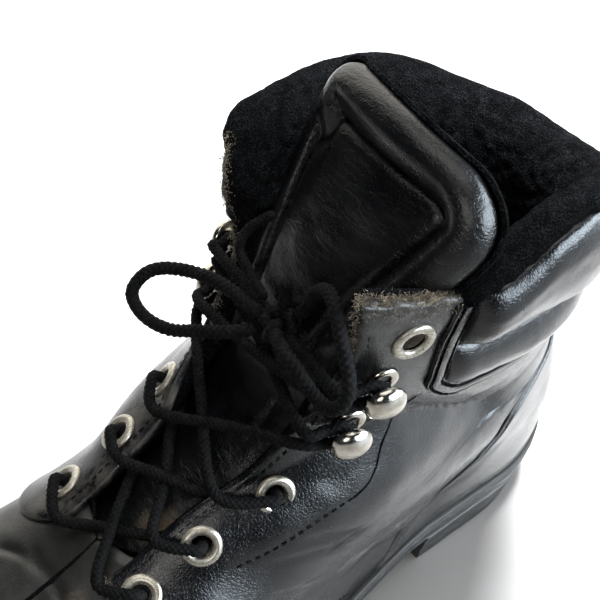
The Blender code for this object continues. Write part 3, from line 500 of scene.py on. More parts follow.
def leatherFinish(name, roughness, grain, coat, scratch=0.0, crepe=0.0, **changes):
    look = {**leatherLook, **changes}
    finish, tree, shader = startFinish(name)
    where = objectCoords(tree)
    cloud = noiseAt(tree, where, look["cloudScale"], 6)
    fine = noiseAt(tree, where, look["poreScale"], 2)
    warp = addNode(tree, "ShaderNodeTexNoise", {"Vector": where, "Scale": look["warpScale"], "Detail": 3})
    bent = addNode(tree, "ShaderNodeVectorMath", {0: warp.outputs["Color"], "Scale": look["warpReach"]},
                   operation="SCALE").outputs[0]
    moved = addNode(tree, "ShaderNodeVectorMath", {0: where, 1: bent}, operation="ADD").outputs[0]
    pebble = addNode(tree, "ShaderNodeTexVoronoi", {"Vector": moved, "Scale": look["grainScale"]},
                     feature="DISTANCE_TO_EDGE").outputs["Distance"]
    scuff = noiseAt(tree, where, look["scuffScale"], 8, 0.7)
    wear = ramp(tree, added(tree, attributeOf(tree, "wear"), times(tree, scuff, 0.9)), 0.72, 1.15)
    speck = noiseAt(tree, where, look["speckScale"], 6, 0.7)
    dust = ramp(tree, added(tree, attributeOf(tree, "dust"), times(tree, speck, 0.8)), 0.62, 1.25)
    colour = blended(tree, ramp(tree, cloud, 0.35, 0.7), look["deep"], look["pale"])
    colour = blended(tree, wear, colour, look["worn"])
    colour = blended(tree, dust, colour, look["dust"])
    height = added(tree, times(tree, ramp(tree, pebble, 0.0, 0.28), grain), times(tree, fine, 0.30))
    rough = added(tree, ramp(tree, cloud, 0.3, 0.75, roughness - 0.05, roughness + 0.08),
                  ramp(tree, fine, 0.3, 0.7, -0.03, 0.05))
    if scratch:
        for turned, spread in look["scratches"]:
            drawn = addNode(tree, "ShaderNodeMapping",
                            {"Vector": where, "Rotation": turned, "Scale": spread})
            line = ramp(tree, noiseAt(tree, drawn.outputs[0], 1.0, 3, 0.6), 0.66, 0.74, 0.0, scratch)
            colour = blended(tree, line, colour, look["scratched"])
            height = combined(tree, height, times(tree, line, 0.5), "SUBTRACT")
    if crepe:
        laid = addNode(tree, "ShaderNodeMapping", {"Vector": moved, "Scale": look["crepeStretch"]})
        fold = ramp(tree, noiseAt(tree, laid.outputs[0], look["crepeScale"], 3, 0.55), 0.38, 0.62)
        height = added(tree, height, times(tree, fold, crepe))
    rough = added(tree, rough, times(tree, wear, 0.30))
    rough = added(tree, rough, times(tree, dust, 0.35))
    height = added(tree, height, times(tree, times(tree, scuff, wear), 0.8))
    setInputs(tree, shader, {"Base Color": colour, "Roughness": rough, "Coat Weight": coat,
                             "Coat Roughness": look["coatRoughness"], "Specular IOR Level": 0.5})
    addBump(tree, shader, 0.55, 0.00022, height)
    return finish


def fleeceFinish(name, dark, pale):
    finish, tree, shader = startFinish(name)
    where = objectCoords(tree)
    knit = addNode(tree, "ShaderNodeTexVoronoi", {"Vector": where, "Scale": 1700}, feature="F1")
    knit = knit.outputs["Distance"]
    fibre = noiseAt(tree, where, 3600, 5, 0.75)
    clump = noiseAt(tree, where, 240, 5, 0.6)
    speck = times(tree, times(tree, knit, fibre), times(tree, clump, 1.4))
    colour = blended(tree, ramp(tree, speck, 0.08, 0.40), (*dark, 1), (*pale, 1))
    setInputs(tree, shader, {"Base Color": colour, "Roughness": 1.0, "Specular IOR Level": 0.05})
    addBump(tree, shader, 1.0, 0.0006, added(tree, times(tree, knit, 1.2), added(tree, fibre, clump)))
    return finish


def rubberFinish(name, dark, pale, roughness, speckle, dirt=(0.105, 0.082, 0.058)):
    finish, tree, shader = startFinish(name)
    where = objectCoords(tree)
    cloud = noiseAt(tree, where, 90, 7, 0.65)
    fine = noiseAt(tree, where, 1500, 5, 0.7)
    grime = noiseAt(tree, where, 260, 8, 0.7)
    colour = blended(tree, ramp(tree, cloud, 0.3, 0.72), (*dark, 1), (*pale, 1))
    colour = blended(tree, ramp(tree, grime, 0.56, 0.78, 0.0, speckle), colour, (*dirt, 1))
    rough = ramp(tree, cloud, 0.3, 0.8, roughness - 0.08, roughness + 0.14)
    setInputs(tree, shader, {"Base Color": colour, "Roughness": rough})
    addBump(tree, shader, 0.5, 0.0003, added(tree, fine, grime))
    return finish


def nickelFinish(name, metal, shine, bright, dull):
    finish, tree, shader = startFinish(name)
    where = objectCoords(tree)
    cloud = noiseAt(tree, where, 420, 5, 0.6)
    scratch = addNode(tree, "ShaderNodeMapping", {"Vector": where, "Scale": (1.0, 7.0, 2.4)}).outputs[0]
    lines = noiseAt(tree, scratch, 700, 4, 0.7)
    colour = blended(tree, ramp(tree, cloud, 0.40, 0.75), (*bright, 1), (*dull, 1))
    rough = ramp(tree, lines, 0.35, 0.75, shine, shine + 0.20)
    setInputs(tree, shader, {"Base Color": colour, "Metallic": metal, "Roughness": rough})
    addBump(tree, shader, 0.18, 0.0001, lines)
    return finish


def threadFinish(name, dark, pale, scale, paintedGrooveShade=False, shine=0.15):
    finish, tree, shader = startFinish(name)
    where = objectCoords(tree)
    twist = noiseAt(tree, where, scale, 4, 0.7)
    lint = noiseAt(tree, where, 380, 5, 0.65)
    share = ramp(tree, times(tree, twist, lint), 0.14, 0.42)
    # on a braided lace the colour is pale only on the strands' crowns and dark in the grooves between them:
    # painted highlight on the crowns and painted shade in the grooves
    if paintedGrooveShade:
        share = times(tree, share, attributeOf(tree, "weave"))
    colour = blended(tree, share, (*dark, 1), (*pale, 1))
    setInputs(tree, shader, {"Base Color": colour, "Roughness": 0.72, "Specular IOR Level": shine})
    addBump(tree, shader, 0.8, 0.00025, twist)
    return finish


vampLeather = leatherFinish("vampLeather", 0.38, 0.12, 0.12, scratch=0.40,
                            deep=(0.0150, 0.0150, 0.0138, 1), pale=(0.0340, 0.0332, 0.0306, 1))
quarterLeather = leatherFinish("quarterLeather", 0.26, 0.30, 0.25, scratch=0.12)
counterLeather = leatherFinish("counterLeather", 0.24, 0.14, 0.30)
collarLeather = leatherFinish("collarLeather", 0.22, 0.34, 0.25)
tongueLeather = leatherFinish("tongueLeather", 0.30, 0.25, 0.20, crepe=0.6,
                              deep=(0.0014, 0.0015, 0.0019, 1), pale=(0.0030, 0.0032, 0.0037, 1))
fleeceLining = fleeceFinish("fleeceLining", (0.0024, 0.0026, 0.0029), (0.0190, 0.0206, 0.0230))
soleRubber = rubberFinish("soleRubber", (0.018, 0.019, 0.020), (0.040, 0.041, 0.041), 0.38, 0.30)
weltEdge = rubberFinish("weltEdge", (0.012, 0.0115, 0.011), (0.050, 0.042, 0.032), 0.55, 0.6)
nickelPlate = nickelFinish("nickelPlate", 1.0, 0.08, (0.66, 0.63, 0.57), (0.47, 0.42, 0.33))
satinNickel = nickelFinish("satinNickel", 0.62, 0.24, (0.56, 0.53, 0.46), (0.38, 0.33, 0.25))
blackThread = threadFinish("blackThread", (0.0015, 0.0015, 0.0017), (0.0110, 0.0110, 0.0115), 2600)
laceBraid = threadFinish("laceBraid", (0.0010, 0.0010, 0.0011), (0.0150, 0.0150, 0.0158), 3200, True)
frayedFibre = threadFinish("frayedFibre", (0.090, 0.080, 0.066), (0.50, 0.44, 0.34), 1500)
print("materials made")

# camera at the photograph's angle, framing 600 by 600
cameraView = {"place": (0.14295, 0.168, 0.3755), "azimuth": 45.9, "elevation": 45.0, "roll": -7.6,
              "lens": 72.0, "sensor": 36, "nearest": 0.01}


def addCamera():
    az, el, roll = (math.radians(cameraView[key]) for key in ("azimuth", "elevation", "roll"))
    back = Vector((math.cos(el) * math.cos(az), math.cos(el) * math.sin(az), math.sin(el)))
    right = (-back).cross(Vector((0, 0, 1))).normalized()
    down = (-back).cross(right)
    level = right * math.cos(roll) + down * math.sin(roll)
    drop = -right * math.sin(roll) + down * math.cos(roll)
    bpy.ops.object.camera_add()
    camera = bpy.context.object
    camera.data.lens = cameraView["lens"]
    camera.data.sensor_width = cameraView["sensor"]
    camera.data.clip_start = cameraView["nearest"]
    turned = Matrix((level, -drop, back)).transposed().to_4x4()
    camera.matrix_world = Matrix.Translation(cameraView["place"]) @ turned
    bpy.context.scene.camera = camera


addCamera()

# lacing rows: kind, lateral level and half gap, medial level and half gap
fittingPlan = {
    "rows": [("eyelet", 5.90, 0.0192, 6.00, 0.0207), ("eyelet", 6.74, 0.0198, 7.10, 0.0180),
             ("eyelet", 7.57, 0.0227, 8.00, 0.0195), ("hook", 9.40, 0.0260, 9.30, 0.0243),
             ("hook", 10.55, 0.0292, 10.15, 0.0270), ("eyelet", 11.70, 0.0320, 11.70, 0.0329)],
    "face": 0.0046, "flange": 0.0060, "bore": 0.0030, "hole": 0.0032, "tube": 0.0014,
    "topSize": 1.08, "gapStep": 0.004, "levelStep": 0.2,
    "hookDisc": 0.0046, "hookTube": 0.0012, "hookNeck": 0.0019, "neckLong": 0.0070, "neckReach": 0.0028,
    "hookDome": 0.0060, "hookRise": 0.0072, "hookFlat": 0.52, "hookLean": 0.0016,
}


def fittingSeat(sideName, number):
    side = sideSigns[sideName]
    kind, *sizes = fittingPlan["rows"][number - 1]
    level, gap = sizes[:2] if side > 0 else sizes[2:]
    turn = turnAtGap(level, gap, side)
    normal = lastNormal(level, turn)[0]
    inward = onLast(level, turnAtGap(level, gap - fittingPlan["gapStep"], side)) - onLast(level, turn)
    inward = unit(inward - normal * (inward @ normal))
    step = fittingPlan["levelStep"]
    up = unit(onLast(level + step, turn) - onLast(level - step, turn))
    return {"kind": kind, "seat": onLast(level, turn, fittingPlan["face"]), "normal": normal,
            "inward": inward, "up": up, "level": level, "turn": turn, "rim": edgeTurn(level, side)}


seats = {(sideName, number): fittingSeat(sideName, number)
         for sideName in sideSigns for number in range(1, len(fittingPlan["rows"]) + 1)}


def seatMatrix(place):
    across = np.cross(place["normal"], place["inward"])
    return axesMatrix(place["inward"], across, place["normal"], place["seat"])


# braided lace
lacePlan = {
    # half thicknesses: tied loops, crossings, the thin end
    "radius": 0.0018, "crossing": 0.0016, "thin": 0.0014,
    "step": 0.00036, "sides": 26, "strands": 5, "pitch": 1.05, "relief": 0.22, "endRound": 0.0016,
    # ways round a fitting, as steps inwards, up and outwards from its seat
    "outOfEyelet": [(-0.0006, 0, -0.0050), (0, 0, 0.0012), (0.0026, 0, 0.0036)],
    "behindEyelet": [(0, 0, -0.0062)],
    "overHook": [(-0.0012, 0, 0.0036), (0.0040, 0.0034, 0.0036), (0.0080, 0.0030, 0.0036)],
    "underHook": [(0.0078, -0.0030, 0.0036), (0.0038, -0.0034, 0.0036), (-0.0012, 0, 0.0036)],
    "tiedHook": [(-0.0012, 0, 0.0036), (0.0040, 0.0034, 0.0036), (0.0084, 0.0030, 0.0036)],
    # lifts of a pair's two runs at the middle of the throat, and step up or down beside a hook
    "lifts": (0.0016, -0.0012), "hookStep": 0.0030,
    # gaps over the facing's edge, then height and reach inside the edge and height behind the facing
    "rimGaps": {"eyelet": 0.0008, "over": 0.0012, "under": 0.0020, "tied": 0.0030},
    "inside": (0.0004, 0.0036), "behind": -0.0026,
    "knot": (0.1365, 0.0036, 0.1404), "knotSize": (0.0068, 0.0078, 0.0062), "knotGap": 0.0005,
    "knotRing": (0.00155, 0.0018, 0.0030), "knotTilt": {"Y": 38, "X": 25},
    "loopLeft": [(0.1477, 0.0004, 0.1418), (0.1508, -0.0034, 0.1398), (0.1538, -0.0096, 0.1365),
                 (0.1581, -0.0180, 0.1324), (0.1608, -0.0263, 0.1323), (0.1604, -0.0325, 0.1356),
                 (0.1555, -0.0334, 0.1397), (0.1507, -0.0292, 0.1428), (0.1461, -0.0191, 0.1459),
                 (0.1446, -0.0090, 0.1481), (0.1441, -0.0016, 0.1480)],
    "loopRight": [(0.1332, 0.0098, 0.1503), (0.1336, 0.0128, 0.1589), (0.1348, 0.0177, 0.1641),
                  (0.1377, 0.0243, 0.1649), (0.1417, 0.0320, 0.1618), (0.1448, 0.0393, 0.1573),
                  (0.1469, 0.0409, 0.1517), (0.1479, 0.0376, 0.1468), (0.1477, 0.0308, 0.1455),
                  (0.1471, 0.0199, 0.1483), (0.1439, 0.0109, 0.1459)],
    "endLong": [(0.1363, -0.0072, 0.1458), (0.1360, -0.0128, 0.1483), (0.1347, -0.0181, 0.1517),
                (0.1311, -0.0188, 0.1561), (0.1262, -0.0147, 0.1622)],
    "endShort": [(0.1348, 0.0027, 0.1522), (0.1359, 0.0025, 0.1559)],
}


def bootPlace(place):
    return np.array([lastForm["heelX"] + place[0], place[1], place[2]])


def knotSeat(towards):
    away = unit(towards - bootPlace(lacePlan["knot"]))
    reach = 1 / math.sqrt(sum((part / size) ** 2 for part, size in zip(away, lacePlan["knotSize"])))
    return bootPlace(lacePlan["knot"]) + away * (reach + lacePlan["knotGap"])


def braidTube(name, points, thick):    # a closed round braid along a smooth path
    path = evenPath(smoothPath(points, 24), lacePlan["step"])
    run = unit(np.gradient(path, axis=0))
    side = np.zeros_like(path)
    start = np.cross(run[0], (0, 0, 1.0)) if abs(run[0][2]) < 0.9 else np.cross(run[0], (1.0, 0, 0))
    side[0] = unit(start)
    for k in range(1, len(path)):
        side[k] = unit(side[k - 1] - run[k] * (side[k - 1] @ run[k]))
    other = np.cross(run, side)
    sides = lacePlan["sides"]
    angle = 2 * np.pi * np.arange(sides + 1) / sides
    along = np.arange(len(path)) * lacePlan["step"] / (lacePlan["pitch"] * thick)
    u = angle[None, :] / (2 * np.pi) * lacePlan["strands"]
    v = along[:, None]
    weave = np.sin(np.pi * (u + v)) * np.sin(np.pi * (u - v))
    crown = np.abs(weave) ** 0.55
    radius = thick * (1 + lacePlan["relief"] * (crown * 1.5 - 0.9))
    radius = radius * (1 + 0.035 * softNoise(path, 0.006, 5))[:, None]
    ends = np.minimum(np.arange(len(path)), np.arange(len(path))[::-1]) * lacePlan["step"]
    radius = radius * roundRise(ends / lacePlan["endRound"])[:, None]
    places = (path[:, None] + radius[..., None] * (np.cos(angle)[None, :, None] * side[:, None]
                                                   + np.sin(angle)[None, :, None] * other[:, None]))
    piece = gridPiece(name, places)
    # the strands' crowns are stored as the weave attribute, which the lace finish turns into painted
    # highlight on the crowns and painted shade in the grooves
    paint(piece, "weave", crown.ravel())
    return closeDoubles(piece), path


def roundFitting(place, way):
    axes = np.stack([place["inward"], place["up"], place["normal"]])
    return [place["seat"] + np.array(step) @ axes for step in lacePlan[way]]


def overRim(place, out, rise=0.0):    # a point over the facing's edge beside a fitting
    return onLast(place["level"], place["rim"], fittingPlan["face"] + out) + place["up"] * rise


def crossingPath(start, end, lift):    # from one fitting over the throat to the next
    half, step, gaps = (lacePlan[key] for key in ("crossing", "hookStep", "rimGaps"))
    if start["kind"] == "eyelet":
        points = [*roundFitting(start, "outOfEyelet"), overRim(start, half + gaps["eyelet"])]
    else:
        points = [*roundFitting(start, "overHook"), overRim(start, half + gaps["over"], step)]
    if end["kind"] == "eyelet":
        out, reach = lacePlan["inside"]
        inside = onLast(end["level"], end["rim"], out) + end["inward"] * reach
        under = onLast(end["level"], mixed(end["rim"], end["turn"], 0.5), lacePlan["behind"])
        tail = [inside, under, *roundFitting(end, "behindEyelet")]
    else:
        tail = [overRim(end, half + gaps["under"], -step), *roundFitting(end, "underHook")]
    out = unit(start["normal"] + end["normal"])
    middle = (points[-1] + tail[0]) / 2 + out * lift
    return [*points, middle, *tail]


def addCrossings():
    sides = list(sideSigns)
    for number in range(1, 5):
        runs = []
        lifts = lacePlan["lifts"] if number % 2 else lacePlan["lifts"][::-1]
        for start, end, lift in zip(sides, sides[::-1], lifts):
            path = crossingPath(seats[(start, number)], seats[(end, number + 1)], lift)
            runs.append(braidTube("run", path, lacePlan["crossing"])[0])
        settle(joined(f"laceCrossing{number}", runs), laceBraid, [f"lace_cross_{number}"], 80)


def addKnot():
    knot = bootPlace(lacePlan["knot"])
    runs = []
    for sideName in sideSigns:
        hook = seats[(sideName, 5)]
        over = overRim(hook, lacePlan["radius"] + lacePlan["rimGaps"]["tied"], lacePlan["hookStep"])
        path = [*roundFitting(hook, "tiedHook"), over, (over + knot) / 2, knot]
        runs.append(braidTube("run", path, lacePlan["crossing"])[0])
    t = np.linspace(0, 2 * np.pi, 60)
    wave = 2 + np.cos(3 * t)
    ring = np.stack([wave * np.cos(2 * t), wave * np.sin(2 * t), np.sin(3 * t)], -1) * lacePlan["knotRing"]
    turns = [Matrix.Rotation(math.radians(angle), 3, axis) for axis, angle in lacePlan["knotTilt"].items()]
    tilt = np.array(turns[0] @ turns[1])
    runs.append(braidTube("run", (ring @ tilt.T + knot)[::2], lacePlan["radius"])[0])
    short = [bootPlace(place) for place in lacePlan["endShort"]]
    runs.append(braidTube("run", [knot, knotSeat(short[0]), *short], lacePlan["radius"])[0])
    settle(joined("laceKnot", runs), laceBraid, ["lace_knot", "lace_end_short"], 80)


def addFreeLace():
    for name, key, node in (("laceLoopLeft", "loopLeft", "lace_loop_left"),
                            ("laceLoopRight", "loopRight", "lace_loop_right"),
                            ("laceEndLong", "endLong", "lace_end_long")):
        points = [bootPlace(place) for place in lacePlan[key]]
        points.insert(0, knotSeat(points[0]))
        loop = key != "endLong"
        if loop:
            points.append(knotSeat(points[-1]))
        thick = lacePlan["radius"] if loop else lacePlan["thin"]
        piece, path = braidTube(name, points, thick)
        settle(piece, laceBraid, [node], 80)


addCrossings()
addKnot()
addFreeLace()
print("lace laid")

# creases and ridges placed on the sides, as x and z in mm from the heel and the floor
creasePlan = {
    "lateral": [
        # line, half width mm, depth mm (minus is a trough), fade share at the ends
        ([(140.0, 62.0), (120.0, 58.5), (104.0, 59.5), (88.0, 63.0)], 2.8, -1.9, 0.3),
        ([(112.0, 48.0), (96.0, 51.5), (82.0, 57.0)], 4.6, 1.5, 0.35),
        ([(150.0, 86.4), (135.8, 83.8), (124.9, 77.1)], 1.3, -0.55, 0.35),
        ([(158.0, 80.0), (142.0, 78.5), (130.0, 74.5)], 1.3, -0.5, 0.35),
        ([(165.0, 70.0), (150.0, 66.5), (136.0, 64.0)], 1.6, -0.55, 0.35),
        ([(168.0, 62.0), (154.0, 56.5), (143.0, 49.0)], 2.0, -0.7, 0.35),
        ([(84.0, 106.0), (70.0, 102.0), (52.0, 103.0)], 3.6, -0.7, 0.3)],
    "medial": [
        ([(148.0, 62.0), (128.0, 55.0), (104.0, 52.0), (80.0, 57.0)], 4.6, 1.3, 0.3),
        ([(146.0, 54.0), (122.0, 44.0), (98.0, 43.0)], 3.4, -1.3, 0.3),
        ([(152.0, 73.0), (128.0, 70.0), (100.0, 72.0), (70.0, 72.0)], 5.0, -1.4, 0.3),
        ([(150.0, 85.0), (132.0, 81.0), (120.0, 76.0)], 1.4, -0.5, 0.35),
        ([(108.0, 104.0), (88.0, 101.0), (60.0, 102.0)], 3.4, -0.7, 0.3)],
}


# one long fold on the outer side with a bulge below it, in mm from the heel and the floor
foldPlan = {
    # x, height of the fold, height of the bulge, drop at the fold, rise of the bulge
    "rows": [(20, 104, 74, 0.0, 0.0), (40, 102, 74, 0.0, 1.6), (54, 98, 74, 0.0, 3.8),
             (64, 95, 75, 0.6, 5.6), (72, 94, 76, 2.0, 7.0), (82, 98, 77, 3.2, 8.2),
             (92, 104, 77, 3.8, 8.8), (104, 111, 77, 3.8, 9.0), (118, 117, 78, 3.0, 8.4),
             (134, 113, 80, 2.0, 6.6), (150, 106, 81, 1.0, 4.0), (168, 98, 82, 0.0, 1.0),
             (186, 92, 80, 0.0, 0.0)],
    "above": 14.0, "skirt": 36.0,
}


def foldLift(points):
    x = (points[..., 0] - lastForm["heelX"]) * 1000
    z = points[..., 2] * 1000
    fold, bulge, drop, rise = (curveAt(foldPlan["rows"], x, k) for k in (1, 2, 3, 4))
    share = (fold - z) / (fold - bulge)
    slope = mixed(-drop, rise, np.sin(np.clip(share, 0, 1) * np.pi / 2))
    above = -drop * (1 - np.clip((z - fold) / foldPlan["above"], 0, 1)) ** 1.6
    below = rise * (1 - eased(0, foldPlan["skirt"], bulge - z))
    lift = np.where(share < 0, above, np.where(share > 1, below, slope)) / 1000
    return lift * eased(0.0, 0.012, points[..., 1])


def creaseLines(sideName):
    lines = []
    for spots, width, depth, fade in creasePlan[sideName]:
        spots = np.array(spots) / 1000
        level, turn = sidePlace(spots[:, 0], spots[:, 1], sideSigns[sideName])
        line = smoothPath(onLast(level, turn, quarterPlan["out"]), 5)
        lines.append((line, width / 1000, depth / 1000, fade))
    return lines


def creaseLift(points, lines):
    lift = np.zeros(points.shape[:-1])
    for line, width, depth, fade in lines:
        gap, share = lineReach(points, line)
        strength = eased(0, fade, share) * eased(0, fade, 1 - share)
        wavy = 1 + 0.25 * softNoise(points, 0.009, 3)
        lift += depth * strength * wavy * np.exp(-((gap / width) ** 2))
    return lift


def spotted(points, spots):    # attribute value from round spots: place, radius, strength
    value = np.zeros(len(points))
    for place, radius, strength in spots:
        gap = np.linalg.norm(points - np.asarray(place), axis=-1)
        value = np.maximum(value, strength * (1 - eased(0.25 * radius, radius, gap)))
    return value


def nearSole(points, full, gone):    # 1 just above the sole, fading to 0 with height
    return 1 - eased(full, gone, points[:, 2] - featherAt(points[:, 0] - lastForm["heelX"]))


# quarters with the facing and its ear
quarterPlan = {
    "out": 0.0046, "base": 0.0008, "wall": 0.0006, "edgeRound": 0.0019, "under": 9.52, "levelStep": 0.085,
    "facingColumns": 26, "bodyColumns": 92, "behindEdge": [0.010, 0.0075, 0.005, 0.0032],
    # what goes under the counter and the collar, and how far it sinks there
    "counterTuck": 0.005, "collarTuck": 0.002, "sink": 0.0016,
    # levels below the ear's top, and metres for a level there
    "earStart": 0.24, "earRows": [0.18, 0.12, 0.07, 0.03, 0.01, 0.0], "earLevel": 0.0135,
    "tear": 0.075, "lump": 0.00055, "grooveDepth": 0.00026, "grooveWidth": 0.0006,
    "grain": [(0.00022, 0.007, 21), (0.0005, 0.026, 22)],
    # ragged front edge: metres for a level, size, depth, then the levels between which it frays
    "edgeLevel": 0.010, "raggedSize": 0.0026, "raggedDepth": 0.00035, "frayGain": 2.6,
    "frayLateral": (11.3, 12.4), "frayMedial": (9.6, 11.5),
}


def quarterPiece(sideName):
    side = sideSigns[sideName]
    plan, under = quarterPlan, quarterPlan["under"]
    top = lastForm["earTop"]
    earStart = top - plan["earStart"]
    low = np.linspace(0, under, int(under / plan["levelStep"]) + 1)
    high = np.linspace(under, earStart, int((earStart - under) / plan["levelStep"]) + 1)[1:]
    levels = np.concatenate([low, high, top - np.array(plan["earRows"])])
    front = frontTurn(levels, side)
    atCounter = levels <= lastForm["counterTop"]
    counterX = curveAt(lastForm["counterSeam"], levels) - plan["counterTuck"]
    back = np.where(atCounter, turnAtX(levels, counterX, side), 0.5)
    goal = turnAtX(under, curveAt(lastForm["collarSeam"], under), side)
    share = np.clip(levels / under, 0, 1) ** 0.5
    first, second = mixed(front, back, 0.28), mixed(front, back, 0.42)
    facing = mixed(mixed(front, back, 0.35), goal, share)
    facing = np.clip(facing, np.minimum(first, second), np.maximum(first, second))
    collarX = curveAt(lastForm["collarSeam"], levels) - plan["collarTuck"]
    facing = np.where(levels >= under, turnAtX(levels, collarX, side), facing)
    rate = side * turnRate(levels, front)
    thick = roundRise((top - levels) * plan["earLevel"] / plan["edgeRound"])
    middle, half = (plan["out"] + plan["base"]) / 2, (plan["out"] - plan["base"]) / 2
    columns = [(distance, -1.0) for distance in plan["behindEdge"]]
    columns += [(plan["edgeRound"] * (1 - np.cos(bend)), np.sin(bend))
                for bend in np.linspace(-np.pi / 2, np.pi / 2, 9)]
    edge = np.stack([levels * plan["edgeLevel"], levels * 0, levels * 0], -1)
    ragged = softNoise(edge, plan["raggedSize"], 11 + side) * plan["raggedDepth"]
    fray = eased(*plan["fray" + sideName.capitalize()], levels)
    ragged = ragged * (1 + plan["frayGain"] * fray)
    turns, outs = [], []
    for distance, height in columns:
        turns.append(front + rate * (distance + ragged))
        outs.append(middle + height * thick * half)
    begin = turns[-1]
    for k in range(1, plan["facingColumns"] + 1):
        turns.append(mixed(begin, facing, k / plan["facingColumns"]))
        outs.append(middle + thick * half)
    for k in range(1, plan["bodyColumns"] + 1):
        turns.append(mixed(facing, back, k / plan["bodyColumns"]))
        arc = np.linalg.norm(lastSurface(levels, back) - lastSurface(levels, turns[-1]), axis=-1)
        sunk = np.where(atCounter, plan["sink"] * (1 - eased(0.001, 0.0065, arc)), 0)
        outs.append(plan["out"] - sunk)
    turns, outs = np.stack(turns, 1), np.stack(outs, 1)
    grid = np.broadcast_to(levels[:, None], turns.shape)
    # the worn ear has a torn, lumpy top
    torn = eased(top - 0.60, top - 0.05, grid)
    tear = softNoise(onLast(grid, turns, outs), 0.0030, 24 + side)
    grid = grid + plan["tear"] * torn * tear
    normal = lastNormal(grid, turns)[0]
    places = onLast(grid, turns, outs)
    outer = eased(middle, plan["out"] - 0.0004, outs)
    lift = creaseLift(places, creaseLines(sideName))
    if side > 0:
        lift = lift + foldLift(places)
    lift = roughened(places, plan["grain"], lift)
    lift = lift + plan["lump"] * torn * softNoise(places, 0.0026, 27 + side)
    for line in seamGrooves[sideName]:
        gap = lineReach(places, line)[0]
        lift = lift - plan["grooveDepth"] * np.exp(-((gap / plan["grooveWidth"]) ** 2))
    places = places + normal * (lift * outer)[..., None]
    mask = np.zeros(turns.shape, bool)
    mask[len(low):, len(columns) + plan["facingColumns"]:] = True
    if side < 0:
        places, mask = places[:, ::-1], mask[:, ::-1]
    piece = gridPiece(f"quarter{sideName.capitalize()}", places)
    return thickened(dropVertices(piece, mask), plan["wall"])


# stitch lines, each a path on the last with its normals
def onSide(spots, side, out):
    spots = np.array(spots, float)
    level, turn = sidePlace(spots[:, 0] / 1000, spots[:, 1] / 1000, side)
    return smoothLine(level, turn, out)


def smoothLine(level, turn, out, samples=10):
    fine = smoothPath(np.stack([level, turn, np.zeros(len(level))], -1), samples)
    return onLast(fine[:, 0], fine[:, 1], out), lastNormal(fine[:, 0], fine[:, 1])[0]


def inset(path, normals, distance):    # moves a line sideways on the surface
    run = unit(np.gradient(path, axis=0))
    return path + np.cross(normals, run) * distance, normals


seamPlan = {
    # x and z in mm from the heel and the floor
    "edgeLateral": [(110.8, 125.4), (114.9, 115.8), (120.1, 107.2), (125.8, 97.5), (131.0, 94.6)],
    "edgeMedial": [(110.8, 125.4), (114.9, 115.8), (120.1, 107.2), (127.0, 97.0), (132.0, 93.6)],
    "eyestayLateral": [(131.0, 94.6), (136.5, 92.8), (146.4, 88.8), (157.8, 83.8), (168.7, 80.5)],
    "eyestayMedial": [(132.0, 93.6), (137.0, 91.5), (147.0, 87.0), (158.0, 82.5), (169.0, 79.5)],
    # rows beside the vamp's seam and the facing's edge
    "vampMargins": (0.0032, 0.0058, 0.0098), "vampLevels": (0.35, 4.0, 12),
    "facingMargin": 0.0034, "facingLevels": (6.2, 12.2, 18),
    # length, gap and half thickness of a stitch
    "fine": (0.0019, 0.0009, 0.00026), "heavy": (0.0023, 0.0003, 0.00050),
    "taped": (0.0022, 0.0004, 0.00048), "edge": (0.0024, -0.0005, 0.00027),
}
seams = {"lateral": [], "medial": [], "edges": []}
for sideName, side in sideSigns.items():
    out, title = quarterPlan["out"], sideName.capitalize()
    seams["edges"].append(onSide(seamPlan["edge" + title], side, out))
    seams[sideName].append(onSide(seamPlan["eyestay" + title], side, out))
    level = np.linspace(*seamPlan["vampLevels"])
    for margin in seamPlan["vampMargins"]:
        turn = turnAtX(level, curveAt(lastForm["vampSeam"], level) - margin, side)
        seams[sideName].append(smoothLine(level, turn, out))
    level = np.linspace(*seamPlan["facingLevels"])
    front = edgeTurn(level, side)
    turn = front + side * turnRate(level, front) * seamPlan["facingMargin"]
    seams[sideName].append(smoothLine(level, turn, out))
seamGrooves = {sideName: [path for path, _ in seams[sideName]] for sideName in sideSigns}
# the outer side's lines ride on its fold and creases
lines = creaseLines("lateral")
for key, chosen in (("lateral", seams["lateral"]), ("edges", seams["edges"][:1])):
    moved = []
    for path, normals in chosen:
        lift = foldLift(path) + creaseLift(path, lines)
        moved.append((path + normals * lift[:, None], normals))
    seams[key] = moved + seams[key][len(moved):]
quarters = {sideName: quarterPiece(sideName) for sideName in sideSigns}
print("quarters shaped")


def holeCutter():
    pins = []
    for place in seats.values():
        if place["kind"] == "eyelet":
            bpy.ops.object.select_all(action="DESELECT")
            bpy.ops.mesh.primitive_cylinder_add(vertices=24, radius=fittingPlan["hole"], depth=0.014)
            pin = bpy.context.object
            pin.matrix_world = Matrix(seatMatrix(place).tolist())
            pins.append(pin)
    return joined("holes", pins)


cutAway(holeCutter(), *quarters.values())


